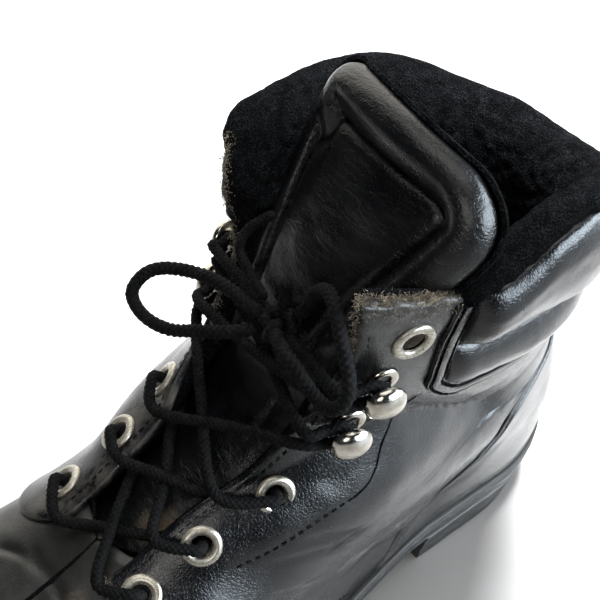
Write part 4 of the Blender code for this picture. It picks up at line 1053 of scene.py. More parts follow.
def paintQuarter(piece, sideName):
    side = sideSigns[sideName]
    top = lastForm["earTop"]
    spots = verticesOf(piece)
    patchy = 0.65 + 0.5 * softNoise(spots, 0.005, 31)
    level = np.linspace(6.1, top, 50)
    gap, share = lineReach(spots, onLast(level, edgeTurn(level, side), 0.0027))
    fray = eased(0.72, 0.9, share) if side > 0 else eased(0.50, 0.62, share)
    wear = (0.34 + 0.45 * fray) * (1 - eased(0.0012, 0.0030 + 0.0016 * fray, gap)) * patchy
    ears = np.linspace(edgeTurn(top, side), turnAtX(top, 0.107, side), 20)
    corner = lineReach(spots, onLast(np.full(20, top), ears, 0.0030))[0]
    wear = np.maximum(wear, (0.85 if side > 0 else 0.5) * (1 - eased(0.0014, 0.0052, corner)) * patchy)
    turn = mixed(float(edgeTurn(12.2, side)), float(turnAtX(12.2, 0.110, side)), 0.5)
    patch = spotted(spots, [(onLast(12.2, turn, quarterPlan["out"]), 0.024, 0.34)])
    wear = np.maximum(wear, patch * (0.8 + 0.6 * softNoise(spots, 0.0032, 33)))
    level = np.linspace(0.3, 6.0, 30)
    seam = lineReach(spots, onLast(level, frontTurn(level, side), 0.0040))[0]
    wear = np.maximum(wear, 0.5 * (1 - eased(0.0006, 0.0036, seam)) * patchy)
    low = nearSole(spots, 0.003, 0.012)
    ahead = eased(0.03, 0.06, spots[:, 0]) * (1 - eased(0.0, 0.03, seam)) * 0.22
    dust = 0.22 * low + 0.16 * (1 - eased(0.001, 0.008, seam))
    if side < 0:
        # the far facing is scuffed and dusty, and its pale wear also stands in for the backdrop's grazing
        # reflection as painted sheen
        rubbedAndPaintedSheen = (1 - eased(0.010, 0.026, gap)) * (1 - eased(0.40, 0.60, share)) * patchy
        wear = np.maximum(wear, 0.66 * rubbedAndPaintedSheen)
        dust = np.maximum(dust, 0.34 * rubbedAndPaintedSheen)
    paint(piece, "wear", wear + 0.12 * low + ahead * patchy)
    paint(piece, "dust", dust)


for sideName, piece in quarters.items():
    paintQuarter(piece, sideName)
    settle(piece, quarterLeather, [f"quarter_{sideName}"])

# vamp
vampPlan = {"out": 0.0021, "wall": 0.0016, "rows": 128, "columns": 260, "tuck": 0.05, "widest": 0.30,
            "top": 6.2, "lipRows": [6.26, 6.31, 6.34, 6.35], "lipDrop": 0.0012, "creaseFade": 0.25,
            "grain": [(0.00030, 0.006, 41), (0.0006, 0.021, 42)],
            "wear": 0.14, "wearRows": [(0.16, 0.020, 43), (0.14, 0.006, 44)]}
vampCreases = [
    # level and turn spots, half width mm, depth mm
    ([(3.6, 0.93), (4.6, 0.97), (5.0, 1.02), (4.6, 1.06), (3.8, 1.10)], 2.4, -0.9),
    ([(3.0, 0.91), (4.0, 0.955), (4.45, 1.0), (4.0, 1.05), (3.1, 1.10)], 2.6, -1.0),
    ([(2.5, 0.92), (3.5, 0.955), (3.9, 1.0), (3.5, 1.045), (2.7, 1.085)], 2.8, -0.8),
    ([(5.5, 0.95), (5.6, 1.0), (5.4, 1.04)], 1.6, -0.6),
    ([(4.9, 0.92), (5.4, 0.96), (5.6, 1.0)], 1.5, -0.5),
]


def vampPiece():
    plan = vampPlan
    levels = np.concatenate([np.linspace(0, plan["top"], plan["rows"]), plan["lipRows"]])
    lateral = np.minimum(frontTurn(levels, 1) + plan["tuck"], plan["widest"])
    medial = np.minimum(1 - frontTurn(levels, -1) + plan["tuck"], plan["widest"])
    share = np.linspace(0, 1, plan["columns"])
    turns = mixed(-medial[:, None], lateral[:, None], share[None, :])
    grid = np.broadcast_to(levels[:, None], turns.shape)
    outs = plan["out"] - plan["lipDrop"] * eased(6.22, 6.35, grid)
    normal = lastNormal(grid, turns)[0]
    places = onLast(grid, turns, outs)
    lines = []
    for spots, width, depth in vampCreases:
        line = smoothLine(*np.array(spots).T, plan["out"])[0]
        lines.append((line, width / 1000, depth / 1000, plan["creaseFade"]))
    lift = creaseLift(places, lines)
    lift = roughened(places, plan["grain"], lift)
    places = places + normal * lift[..., None]
    piece = thickened(gridPiece("vamp", places), plan["wall"])
    spots = verticesOf(piece)
    wear = roughened(spots, plan["wearRows"], plan["wear"])
    dust = 0.28 * nearSole(spots, 0.003, 0.014) + 0.02 + 0.14 * softNoise(spots, 0.024, 45)
    patch = onLast(5.6, 0.03, 0.002)
    paint(piece, "wear", wear)
    paint(piece, "dust", np.maximum(dust, spotted(spots, [(patch, 0.008, 0.42)])))
    return settle(piece, vampLeather, ["upper"])


vampPiece()

# heel counter
counterPlan = {
    "out": 0.0053, "wall": 0.0016, "rows": 84, "columns": 230, "edgeRound": 0.0026, "edgeDrop": 0.0017,
    # rows at the top as shares of the last levels, and columns at the edges as distances
    "lipLevels": 0.2, "lipRows": [0.25, 0.45, 0.62, 0.76, 0.87, 0.95, 1.0],
    "edgeColumns": [0, 0.0003, 0.0008, 0.0014, 0.0021, 0.003, 0.0042],
    "grooveDepth": 0.00120, "grooveWidth": 0.0011, "grain": [(0.00016, 0.012, 51), (0.0004, 0.035, 52)],
    # metres for a level at the top, and the least width round the heel
    "lipLevel": 0.0085, "narrowest": 0.03,
    # seam: levels, levels it sits above the edge's own curve, margin behind the edge, depth of the thread
    "seamLevels": (0.3, 5.62, 30), "seamAbove": 0.16, "seamMargin": 0.0028, "seamSunk": 0.0007,
}


def counterPiece():
    plan = counterPlan
    top = lastForm["counterTop"]
    lip = plan["lipLevels"]
    levels = np.linspace(0, top - lip, plan["rows"])
    levels = np.concatenate([levels, top - lip + lip * np.array(plan["lipRows"])])
    first, final = (turnAtX(levels, curveAt(lastForm["counterSeam"], levels), side) for side in (1, -1))
    near = np.array(plan["edgeColumns"])
    width = np.linalg.norm(lastSurface(levels, first) - lastSurface(levels, first + 0.01), axis=-1) / 0.01
    width = np.maximum(width * (final - first), plan["narrowest"])
    body = np.linspace(0, 1, plan["columns"])[1:-1]
    shares = []
    for k in range(len(levels)):
        edge = near / width[k]
        inner = mixed(edge[-1], 1 - edge[-1], body)
        shares.append(np.concatenate([edge, inner, 1 - edge[::-1]]))
    shares = np.array(shares)
    turns = mixed(first[:, None], final[:, None], shares)
    grid = np.broadcast_to(levels[:, None], turns.shape)
    edgeGap = np.minimum(shares, 1 - shares) * width[:, None]
    edgeGap = np.minimum(edgeGap, (top - grid) * plan["lipLevel"])
    outs = plan["out"] - plan["edgeDrop"] * (1 - roundRise(edgeGap / plan["edgeRound"]))
    normal = lastNormal(grid, turns)[0]
    places = onLast(grid, turns, outs)
    lift = roughened(places, plan["grain"], foldLift(places))
    for line in seamGrooves["counter"]:
        gap = lineReach(places, line)[0]
        lift = lift - plan["grooveDepth"] * np.exp(-((gap / plan["grooveWidth"]) ** 4))
    places = places + normal * lift[..., None]
    piece = thickened(gridPiece("heelCounter", places), plan["wall"])
    spots = verticesOf(piece)
    low = nearSole(spots, 0.002, 0.012)
    paint(piece, "wear", 0.10 + 0.25 * low + 0.12 * softNoise(spots, 0.018, 53))
    paint(piece, "dust", 0.35 * low)
    return settle(piece, counterLeather, ["counter"])


seams["counter"] = []
seamGrooves["counter"] = []
for side in (1, -1):
    level = np.linspace(*counterPlan["seamLevels"])
    seam = curveAt(lastForm["counterSeam"], level + counterPlan["seamAbove"])
    turn = turnAtX(level, seam - counterPlan["seamMargin"], side)
    seamGrooves["counter"].append(smoothLine(level, turn, counterPlan["out"])[0])
    path, normals = smoothLine(level, turn, counterPlan["out"] - counterPlan["seamSunk"])
    seams["counter"].append((path + normals * foldLift(path)[:, None], normals))
counterPiece()

# padded collar in two rolls
collarPlan = {
    "section": [(0.0034, 13.08), (0.0052, 13.19), (0.0074, 13.17), (0.0096, 13.02), (0.0112, 12.78),
                (0.0121, 12.44), (0.0121, 12.05), (0.0112, 11.66), (0.0092, 11.36), (0.0060, 11.16),
                (0.0036, 11.06), (0.0056, 11.00), (0.0074, 10.82), (0.0088, 10.54), (0.0096, 10.20),
                (0.0090, 9.92), (0.0070, 9.74), (0.0048, 9.64), (0.0034, 9.60)],
    "rows": 76, "columns": 300, "wall": 0.0011, "edgeColumns": [0, 0.0012, 0.0026],
    # length round the ankle, length of the rounded ends, height they start from, distance behind the seam
    "around": 0.245, "puff": 0.0085, "flat": 0.0036, "behindSeam": 0.0018,
    # gathers: level, reach in levels, strength
    "gathers": [(11.06, 0.30, 1.0), (9.6, 0.34, 1.0), (13.1, 0.3, 0.5)],
    "gatherRows": [(1.0, 0.0065, 61), (0.6, 0.0031, 62)], "gatherDepth": 0.00042,
    "grain": [(0.0006, 0.020, 63), (0.00016, 0.005, 64)],
}


def collarPiece():
    plan = collarPlan
    section = np.array([(k, level, out) for k, (out, level) in enumerate(plan["section"])])
    place = np.linspace(0, len(section) - 1, plan["rows"])
    levels = curveAt(section, place, 1)[::-1]
    outs = curveAt(section, place, 2)[::-1]
    seamLevel = np.minimum(levels, 13)
    seam = curveAt(lastForm["collarSeam"], seamLevel) - plan["behindSeam"]
    first, final = turnAtX(seamLevel, seam, 1), turnAtX(seamLevel, seam, -1)
    edge = np.array(plan["edgeColumns"])
    share = mixed(0.0045, 0.9955, np.linspace(0, 1, plan["columns"]))
    share = np.concatenate([edge, share, 1 - edge[::-1]])
    turns = mixed(first[:, None], final[:, None], share[None, :])
    grid = np.broadcast_to(levels[:, None], turns.shape)
    puff = roundRise(np.minimum(share, 1 - share)[None, :] * plan["around"] / plan["puff"])
    outGrid = mixed(plan["flat"], outs[:, None], 0.25 + 0.75 * puff)
    normal = lastNormal(grid, turns)[0]
    places = onLast(grid, turns, outGrid)
    # gathers run across the rolls and die out on their crowns
    path = np.stack([share * plan["around"], share * 0, share * 0], -1)
    gather = roughened(path, plan["gatherRows"])
    nearSeam = sum(strength * np.exp(-(((levels - level) / reach) ** 2))
                   for level, reach, strength in plan["gathers"])
    lift = roughened(places, plan["grain"], plan["gatherDepth"] * gather[None, :] * nearSeam[:, None])
    places = places + normal * lift[..., None]
    piece = thickened(gridPiece("collarPad", places), plan["wall"])
    spots = verticesOf(piece)
    paint(piece, "wear", 0.08 + 0.16 * softNoise(spots, 0.02, 65))
    paint(piece, "dust", np.zeros(len(spots)))
    settle(piece, collarLeather, ["collar"])


collarPiece()

# fleece lining: rolls over the rim and goes down inside
liningPlan = {
    "collar": [(0.0046, 12.92), (0.0062, 13.06), (0.0062, 13.24), (0.0046, 13.38), (0.0018, 13.44),
               (-0.0012, 13.36), (-0.0038, 13.14), (-0.0056, 12.80), (-0.0066, 12.30), (-0.0066, 11.70),
               (-0.0058, 11.0), (-0.0044, 10.2), (-0.0030, 9.4), (-0.0018, 8.5), (-0.0012, 7.5),
               (-0.0009, 6.0), (-0.0009, 3.5), (-0.0009, 0.9)],
    "earLateral": [(0.0008, 12.60), (0.0012, 12.70), (0.0010, 12.80), (0.0002, 12.88), (-0.0010, 12.90),
                   (-0.0022, 12.82), (-0.0036, 12.62), (-0.0046, 12.32), (-0.0052, 11.95), (-0.0052, 11.5),
                   (-0.0048, 10.9), (-0.0038, 10.2), (-0.0028, 9.4), (-0.0018, 8.5), (-0.0012, 7.5),
                   (-0.0009, 6.0), (-0.0009, 3.5), (-0.0009, 0.9)],
    # rows of the roll and of the wall below it, and the point where the roll ends
    "rows": (90, 60), "rollEnd": 10, "columns": 250, "wall": 0.0007,
    "edgeColumns": [0, 0.0012, 0.0028, 0.005], "throat": 6.4, "edgeGap": 0.002,
    # the edges close on the facings: length round, reach, height and drop
    "around": 0.26, "closeReach": 0.0052, "closedOut": 0.0024, "closedDrop": 0.22,
    "nap": [(0.00055, 0.0024, 71), (0.00035, 0.0012, 72), (0.0007, 0.011, 73)],
}


def liningPiece():
    plan = liningPlan
    bend = plan["rollEnd"]
    place = np.concatenate([np.linspace(0, bend, plan["rows"][0]),
                            np.linspace(bend, len(plan["collar"]) - 1, plan["rows"][1])[1:]])
    tables = {}
    for key in ("collar", "earLateral"):
        rows = np.array([(k, level, out) for k, (out, level) in enumerate(plan[key])])
        tables[key] = (curveAt(rows, place, 1), curveAt(rows, place, 2))
    near = np.array(plan["edgeColumns"])
    share = np.concatenate([near, np.linspace(0.008, 0.992, plan["columns"]), 1 - near[::-1]])
    front = float(turnAtX(12.6, 0.107, 1))
    topTurn = mixed(float(edgeTurn(13.0, 1)), float(edgeTurn(13.0, -1)), share)
    ear = 1 - eased(front - 0.012, front + 0.006, topTurn)
    levels = mixed(tables["collar"][0][:, None], tables["earLateral"][0][:, None], ear[None, :])
    outs = mixed(tables["collar"][1][:, None], tables["earLateral"][1][:, None], ear[None, :])
    # the edges close towards the facings' front edges
    shut = roundRise(np.minimum(share, 1 - share) * plan["around"] / plan["closeReach"])
    outs = mixed(plan["closedOut"], outs, shut[None, :])
    levels = levels - plan["closedDrop"] * (1 - shut[None, :]) * eased(11.8, 13.2, levels)
    seamLevel = np.clip(levels, 0, 13.3)
    split = seamLevel > plan["throat"]
    first = np.where(split, edgeTurn(np.maximum(seamLevel, 6.0), 1) + plan["edgeGap"], 0.0)
    final = np.where(split, edgeTurn(np.maximum(seamLevel, 6.0), -1) - plan["edgeGap"], 1.0)
    turns = mixed(first, final, share[None, :])
    normal = lastNormal(levels, turns)[0]
    places = onLast(levels, turns, outs)
    # the nap stands in small clumps, deepest over the rim
    rim = eased(8.0, 11.5, levels)
    nap = roughened(places, plan["nap"])
    inwardSign = np.where(outs < -0.0002, -1.0, 1.0)
    places = places + normal * (nap * rim * inwardSign)[..., None]
    piece = thickened(gridPiece("lining", places[:, ::-1]), plan["wall"])
    return settle(piece, fleeceLining, (), 80)


liningPiece()

# padded tongue: leather front with a fat rolled rim, fleece behind it
tonguePlan = {
    # x, z, shift, half width, curve across, roll
    "rows": [(0.2020, 0.0728, 0.0, 0.0165, 0.030, 0.0), (0.1880, 0.0810, 0.0, 0.0185, 0.028, 0.0),
             (0.1740, 0.0895, 0.0005, 0.0200, 0.028, 0.0), (0.1600, 0.0980, 0.0005, 0.0210, 0.030, 0.0),
             (0.1470, 0.1085, 0.0005, 0.0215, 0.034, 0.0006),
             (0.1385, 0.1215, 0.0005, 0.0220, 0.040, 0.0016),
             (0.1310, 0.1365, 0.0010, 0.0230, 0.050, 0.0030),
             (0.1243, 0.1519, 0.0022, 0.0262, 0.060, 0.0044),
             (0.1169, 0.1674, 0.0041, 0.0306, 0.070, 0.0052),
             (0.1091, 0.1813, 0.0054, 0.0339, 0.080, 0.0056),
             (0.1044, 0.1896, 0.0059, 0.0347, 0.080, 0.0056),
             (0.1011, 0.1947, 0.0060, 0.0348, 0.080, 0.0056),
             (0.0981, 0.1993, 0.0060, 0.0348, 0.080, 0.0056)],
    "depth": 0.0042, "rollWidth": 0.0125, "farWidth": 0.0055, "rollRound": 0.0056, "plainRound": 0.0030,
    "fullCrest": 0.0050, "groove": 0.0016, "grooveWidth": 0.0015, "half": 0.0348, "wall": 0.0012,
    "nearCorner": 0.019, "farCorner": 0.0110, "skew": 0.0034, "farFat": 0.42, "rim": 0.0016,
    "count": (190, 120), "endRows": [0, 0.0002, 0.0005, 0.0010, 0.0016, 0.0023],
    "sideColumns": [0.988, 0.995, 0.9985, 1],
    # wrinkles drawn out across the tongue, its wider waves, the roll's grain and the nap behind
    "wrinkleStretch": (1.0, 0.45, 1.0), "wrinkles": [(0.00022, 0.0042, 81)], "waves": [(0.0006, 0.014, 82)],
    "rollGrain": [(0.00022, 0.016, 84), (0.00005, 0.004, 85)],
    "nap": [(0.00040, 0.0024, 87), (0.00030, 0.0012, 88)],
}


def tongueGrid(grow):    # flat grid of the tongue with the distance in from its outline
    plan = tonguePlan
    table = np.array(plan["rows"])
    along = lengthAlong(table[:, [0, 1]])
    rows = np.column_stack([along, table])
    total = along[-2] + grow
    rowCount, columnCount = plan["count"]
    near = np.array(plan["endRows"])
    s = np.concatenate([near, np.linspace(0.003, total - 0.003, rowCount), total - near[::-1]])
    half = curveAt(rows, s, 4) + grow
    halves = []
    for corner in (plan["nearCorner"], plan["farCorner"]):
        left = np.clip(1 - (total - s) / corner, 0, 1)
        halves.append(half - corner * (1 - np.sqrt(np.clip(1 - left**2, 0, 1))))
    bare = np.linspace(-1, 1, columnCount)
    share = np.sign(bare) * (1 - (1 - np.abs(bare)) ** 1.25)
    edge = np.array(plan["sideColumns"])
    share = np.concatenate([-edge[::-1], share[2:-2] * 0.975, edge])
    across = np.where(share > 0, halves[0][:, None] * share, halves[1][:, None] * share)
    flat = np.stack([np.broadcast_to(s[:, None], across.shape), across, across * 0], -1)
    outline = np.concatenate([np.column_stack([s, halves[0]]), np.column_stack([s, -halves[1]])[::-1]])
    gap = lineReach(flat, np.column_stack([outline, outline[:, 0] * 0]))[0]
    lip = np.maximum((total - s)[:, None] / plan["rollWidth"], 1e-4)
    nearSide = np.maximum((halves[0][:, None] - across) / plan["rollWidth"], 1e-4)
    farSide = np.maximum((halves[1][:, None] + across) / plan["farWidth"], 1e-4)
    parts = [lip**-4.0, nearSide**-4.0, farSide**-4.0]
    spot = s[:, None] + plan["skew"] * (0.5 - 0.5 * share) * eased(0.55 * total, total, s)[:, None]
    return {"rows": rows, "s": s, "total": total, "across": across, "gap": gap, "spot": spot,
            "lead": np.minimum(gap, s[:, None]), "far": parts[2] / sum(parts)}


def tonguePlace(rows, spot, across, out):
    x, z, shift, radius = (curveAt(rows, spot, column) for column in (1, 2, 3, 5))
    dx = curveAt(rows, spot + 1e-4, 1) - curveAt(rows, spot - 1e-4, 1)
    dz = curveAt(rows, spot + 1e-4, 2) - curveAt(rows, spot - 1e-4, 2)
    length = np.hypot(dx, dz)
    normal = np.stack([dz / length, dx * 0, -dx / length], -1)
    out = out - across**2 / (2 * radius)
    middle = np.stack([lastForm["heelX"] + x, shift + across, z], -1)
    return middle + normal * out[..., None], normal


def tonguePiece():
    plan = tonguePlan
    depth = plan["depth"]
    grid = tongueGrid(0.0)
    gap, lead, s = grid["gap"], grid["lead"], grid["s"][:, None]
    roll = curveAt(grid["rows"], grid["spot"], 6)
    crest = roll * mixed(1.0, plan["farFat"], grid["far"])
    wide = mixed(plan["rollWidth"], plan["farWidth"], grid["far"])
    bend = mixed(plan["plainRound"], plan["rollRound"], np.clip(crest / plan["fullCrest"], 0, 1))
    middle = (crest - depth) / 2
    fall = 0.5 + 0.5 * np.cos(np.pi * np.clip((gap - bend) / (wide - bend), 0, 1))
    groove = np.exp(-(((gap - wide) / plan["grooveWidth"]) ** 2)) * np.clip(crest / 0.003, 0, 1)
    front = np.where(lead < bend, mixed(middle, crest, roundRise(lead / bend)), crest * fall)
    front = front - plan["groove"] * groove
    base = tonguePlace(grid["rows"], grid["spot"], grid["across"], front)[0]
    inner = eased(0.010, 0.016, gap) * eased(0.02, 0.05, s)
    wrinkle = roughened(base * plan["wrinkleStretch"], plan["wrinkles"])
    wrinkle = roughened(base, plan["waves"], wrinkle)
    rollNoise = roughened(base, plan["rollGrain"])
    front = front + (wrinkle * inner + rollNoise * (1 - inner)) * np.clip(lead / 0.002, 0, 1)
    places = tonguePlace(grid["rows"], grid["spot"], grid["across"], front)[0]
    piece = thickened(gridPiece("tonguePad", places[:, ::-1]), plan["wall"])
    spots = verticesOf(piece)
    paint(piece, "wear", 0.02 + 0.08 * softNoise(spots, 0.016, 86))
    dust = 0.16 * (1 - eased(0.08, 0.11, spots[:, 2]))
    paint(piece, "dust", np.maximum(dust, spotted(spots, [(onLast(6.8, 0.035, 0.002), 0.013, 0.75)])))
    settle(piece, tongueLeather, ["tongue"], 70)
    # seam round the panel, where the roll starts
    wide, corner, half, total = plan["rollWidth"], plan["nearCorner"], plan["half"], grid["total"]
    spots = [(d, np.interp(d, grid["s"], curveAt(grid["rows"], grid["s"], 4)) - wide)
             for d in np.linspace(0.06, total - corner - 0.004, 10)]
    arc = corner - wide
    spots += [(total - corner + arc * np.sin(bow), half - corner + arc * np.cos(bow))
              for bow in np.linspace(0, np.pi / 2, 7)]
    spots += [(total - wide, y) for y in np.linspace(half - corner - 0.006, 0.011 - half, 6)]
    ring = smoothPath(np.column_stack([np.array(spots), np.zeros(len(spots))]), 8)
    lean = plan["skew"] * (0.5 - 0.5 * ring[:, 1] / half) * eased(0.55 * total, total, ring[:, 0])
    return [tonguePlace(grid["rows"], ring[:, 0] + lean, ring[:, 1], ring[:, 0] * 0 - 0.0014)]


def tongueBack():
    plan = tonguePlan
    grid = tongueGrid(plan["rim"])
    gap, lead, s = grid["gap"], grid["lead"], grid["s"][:, None]
    roll = curveAt(grid["rows"], grid["spot"], 6)
    middle = (roll * mixed(1.0, plan["farFat"], grid["far"]) - plan["depth"]) / 2 + 0.0004
    bend = mixed(plan["plainRound"], plan["rollRound"], np.clip(roll / plan["fullCrest"], 0, 1))
    low = -plan["depth"] - 0.0024 * np.clip(gap / 0.010, 0, 1) ** 0.6 * np.clip(s / 0.02, 0, 1)
    rear = mixed(middle, low, roundRise(lead / bend))
    base = tonguePlace(grid["rows"], grid["spot"], grid["across"], rear)[0]
    nap = roughened(base, plan["nap"])
    places = tonguePlace(grid["rows"], grid["spot"], grid["across"], rear - nap)[0]
    piece = thickened(gridPiece("tongueLining", places), plan["wall"])
    settle(piece, fleeceLining, (), 80)


seams["tongue"] = tonguePiece()
tongueBack()
print("upper dressed")

# tape over the collar's seam, with its two stitch rows
tapePlan = {
    "half": 0.0030, "rise": 0.0016, "out": 0.0050, "ahead": 0.0008, "wall": 0.0008, "step": 0.0008,
    "levels": [12.90, 12.2, 11.5, 10.8, 10.2, 9.86],
    # level and x of the bend, then the level of the run behind, its sag and its points
    "bend": (9.5, 0.099), "low": 9.44, "sag": 0.10, "points": 25,
    # shares of the half width and of the rise, from the middle outwards
    "section": [(0.0, 1.05), (0.2, 1.05), (0.38, 0.95), (0.45, 0.12), (0.70, 0.12), (0.78, 0.78),
                (0.90, 0.74), (0.98, 0.45), (1.0, 0.0)],
    "stitchRows": (0.575, -0.575), "stitchRise": 0.30,
}


def tapePath():
    plan = tapePlan
    levels = np.array(plan["levels"])
    seam = curveAt(lastForm["collarSeam"], levels) + plan["ahead"]
    down, up = (np.column_stack([levels, turnAtX(levels, seam, side)]) for side in (1, -1))
    corner = turnAtX(*plan["bend"], 1)
    share = np.arange(plan["points"]) / (plan["points"] - 1)
    behind = np.column_stack([plan["low"] - plan["sag"] * np.sin(np.pi * share),
                              mixed(corner, 1 - corner, share)])
    return smoothLine(*np.concatenate([down, behind, up[::-1]]).T, plan["out"], 16)


def tapePiece():
    plan = tapePlan
    path, normals = tapePath()
    even = evenPath(path, plan["step"])
    along = lengthAlong(path)
    normals = unit(pickAlong(normals, along, np.linspace(0, along[-1], len(even))))
    run = unit(np.gradient(even, axis=0))
    side = unit(np.cross(normals, run))
    half, tall = np.array(plan["section"]).T
    across = np.concatenate([-half[:0:-1], half])
    height = np.concatenate([tall[:0:-1], tall])
    wavy = 1 + 0.12 * softNoise(even, 0.004, 91)
    spread = (even[:, None] + side[:, None] * (across * plan["half"])[None, :, None]
              + normals[:, None] * (height[None, :] * wavy[:, None] * plan["rise"])[..., None])
    piece = thickened(gridPiece("collarTape", spread[:, ::-1]), plan["wall"])
    spots = verticesOf(piece)
    paint(piece, "wear", 0.25 + 0.3 * softNoise(spots, 0.008, 92))
    paint(piece, "dust", np.zeros(len(spots)))
    settle(piece, quarterLeather)
    middle = even + normals * plan["rise"] * plan["stitchRise"]
    return [inset(middle, normals, share * plan["half"]) for share in plan["stitchRows"]]


seams["tape"] = tapePiece()


def stitchModel():
    bpy.ops.object.select_all(action="DESELECT")
    bpy.ops.mesh.primitive_uv_sphere_add(segments=6, ring_count=5, radius=1.0)
    model = bpy.context.object
    spots = verticesOf(model)[:, [2, 0, 1]]
    spots[:, 0] = np.sign(spots[:, 0]) * np.abs(spots[:, 0]) ** 0.6
    return placeVertices(model, spots)


def addStitches(name, rows, kind):
    long, space, thick = seamPlan[kind]
    pitch = long + space
    matrices = []
    for path, normals in rows:
        along = lengthAlong(path)
        starts = np.arange(int(along[-1] / pitch)) * pitch
        first, final = pickAlong(path, along, starts), pickAlong(path, along, starts + long)
        runs = unit(final - first)
        ups = unit(pickAlong(normals, along, starts))
        ups = unit(ups - runs * (ups * runs).sum(-1, keepdims=True))
        middles = (first + final) / 2 + ups * thick * 0.15
        for run, up, middle in zip(runs, ups, middles):
            matrices.append(axesMatrix(run * long / 2, np.cross(up, run) * thick, up * thick, middle))
    piece = copiesOf(name, stitchModel(), matrices)
    return settle(piece, blackThread, (), 80)


addStitches("quarterStitches", seams["lateral"] + seams["medial"], "fine")
addStitches("facingEdges", seams["edges"], "edge")
addStitches("counterStitches", seams["counter"], "heavy")
addStitches("collarStitches", seams["tape"], "taped")
addStitches("tongueStitches", seams["tongue"], "fine")
print("seams stitched")

# sole layers as rings round the feather edge
solePlan = {
    "columns": 420, "heelBreast": 0.076, "forefootWidth": 0.130, "heelWidth": 0.048,
    # welt stitches: margin, rise, and turns from the medial side round the toe to the lateral side
    "stitchMargin": 0.0042, "stitchRise": 0.0002, "stitchTurns": (-0.30, 0.30, 200),
    # margin and share of the height
    "midsole": [(-0.010, 0.0), (0.0060, 0.0), (0.0066, 0.08), (0.0068, 0.25), (0.0062, 0.42),
                (0.0060, 0.50), (0.0063, 0.58), (0.0068, 0.74), (0.0067, 0.90), (0.0061, 1.0),
                (0.0040, 1.02), (0.0014, 0.96), (-0.010, 0.96)],
    "outsole": [(-0.010, 0.0), (0.0044, 0.0), (0.0051, 0.05), (0.0055, 0.20), (0.0050, 0.42),
                (0.0050, 0.48), (0.0059, 0.55), (0.0062, 0.72), (0.0061, 0.92), (0.0056, 1.0),
                (-0.010, 1.0)],
    "heel": [(-0.010, 0.0), (0.0020, 0.0), (0.0028, 0.03), (0.0032, 0.16), (0.0031, 0.32), (0.0024, 0.345),
             (0.0033, 0.37), (0.0044, 0.78), (0.0040, 0.805), (0.0047, 0.83), (0.0051, 0.97), (0.0046, 1.0),
             (-0.010, 1.0)],
    "lugDepth": 0.0026, "lugGap": 0.0030,
    "forefootGrooves": [0.150, 0.164, 0.178, 0.192, 0.206, 0.220, 0.234, 0.248, 0.262],
    "heelGrooves": [0.018, 0.034, 0.050], "worn": [(0.00018, 0.006, 101), (0.00010, 0.002, 102)],
}


def soleRing(margin, turns):
    here = lastSurface(0.0, turns)
    around = lastSurface(0.0, turns + 0.004) - lastSurface(0.0, turns - 0.004)
    normal = unit(np.stack([around[:, 1], -around[:, 0], around[:, 0] * 0], -1))
    return here + normal * margin


def soleLayer(name, section, bottom, top):
    turns = np.linspace(0, 1, solePlan["columns"] + 1)
    section = np.array(section)
    rows = []
    for k, (margin, share) in enumerate(section):
        ring = soleRing(margin, turns)
        if k in (0, len(section) - 1):
            # the inner rings close on the middle line
            ring[:, :2] = (ring[:, :2] + ring[::-1, :2]) / 2
        x = ring[:, 0] - lastForm["heelX"]
        ring[:, 2] = mixed(bottom(x), top(x), share)
        rows.append(ring)
    places = np.array(rows)
    worn = roughened(places, solePlan["worn"])
    out = soleRing(1.0, turns) - soleRing(0.0, turns)
    places[1:-1] += out[None] * worn[1:-1, :, None]
    return closeDoubles(gridPiece(name, places), 1e-5)


def grooveCutters(spots, width, curved):
    bars = []
    for x in spots:
        bpy.ops.object.select_all(action="DESELECT")
        floor = float(groundAt(x)) if curved else 0.0
        bpy.ops.mesh.primitive_cube_add(size=1.0, location=(lastForm["heelX"] + x, 0, floor))
        bar = bpy.context.object
        bar.scale = (solePlan["lugGap"], width, 2 * solePlan["lugDepth"])
        bars.append(bar)
    return joined("grooves", bars)


def addSole():
    joint = lastForm["joint"]

    def outsoleTop(x):
        return groundAt(x) + lastForm["outsole"]

    def midsoleTop(x):
        return outsoleTop(x) + joint + lastForm["midsole"]

    middle = soleLayer("weltMidsole", solePlan["midsole"], lambda x: outsoleTop(x) + joint, midsoleTop)
    settle(middle, weltEdge, ["midsole"])
    outer = soleLayer("treadOutsole", solePlan["outsole"], groundAt, outsoleTop)
    cutAway(grooveCutters(solePlan["forefootGrooves"], solePlan["forefootWidth"], True), outer)
    settle(outer, soleRubber, ["outsole"], 35)
    heelTop = lastForm["heelBlock"] - joint
    block = soleLayer("heelStack", solePlan["heel"], lambda x: x * 0, lambda x: x * 0 + heelTop)
    breast = (lastForm["heelX"] + solePlan["heelBreast"], 0, 0)
    inEditMode(block, lambda: bpy.ops.mesh.bisect(plane_co=breast, plane_no=(1, 0, 0), use_fill=True,
                                                  clear_outer=True))
    cutAway(grooveCutters(solePlan["heelGrooves"], solePlan["heelWidth"], False), block)
    settle(block, soleRubber, ["heel"], 35)
    ring = soleRing(solePlan["stitchMargin"], np.linspace(*solePlan["stitchTurns"]))
    ring[:, 2] = midsoleTop(ring[:, 0] - lastForm["heelX"]) + solePlan["stitchRise"]
    addStitches("weltStitches", [(ring, np.broadcast_to((0.0, 0.0, 1.0), ring.shape))], "heavy")


addSole()
nodes["insole"].data.materials.clear()
nodes["insole"].data.materials.append(fleeceLining)
print("sole built")


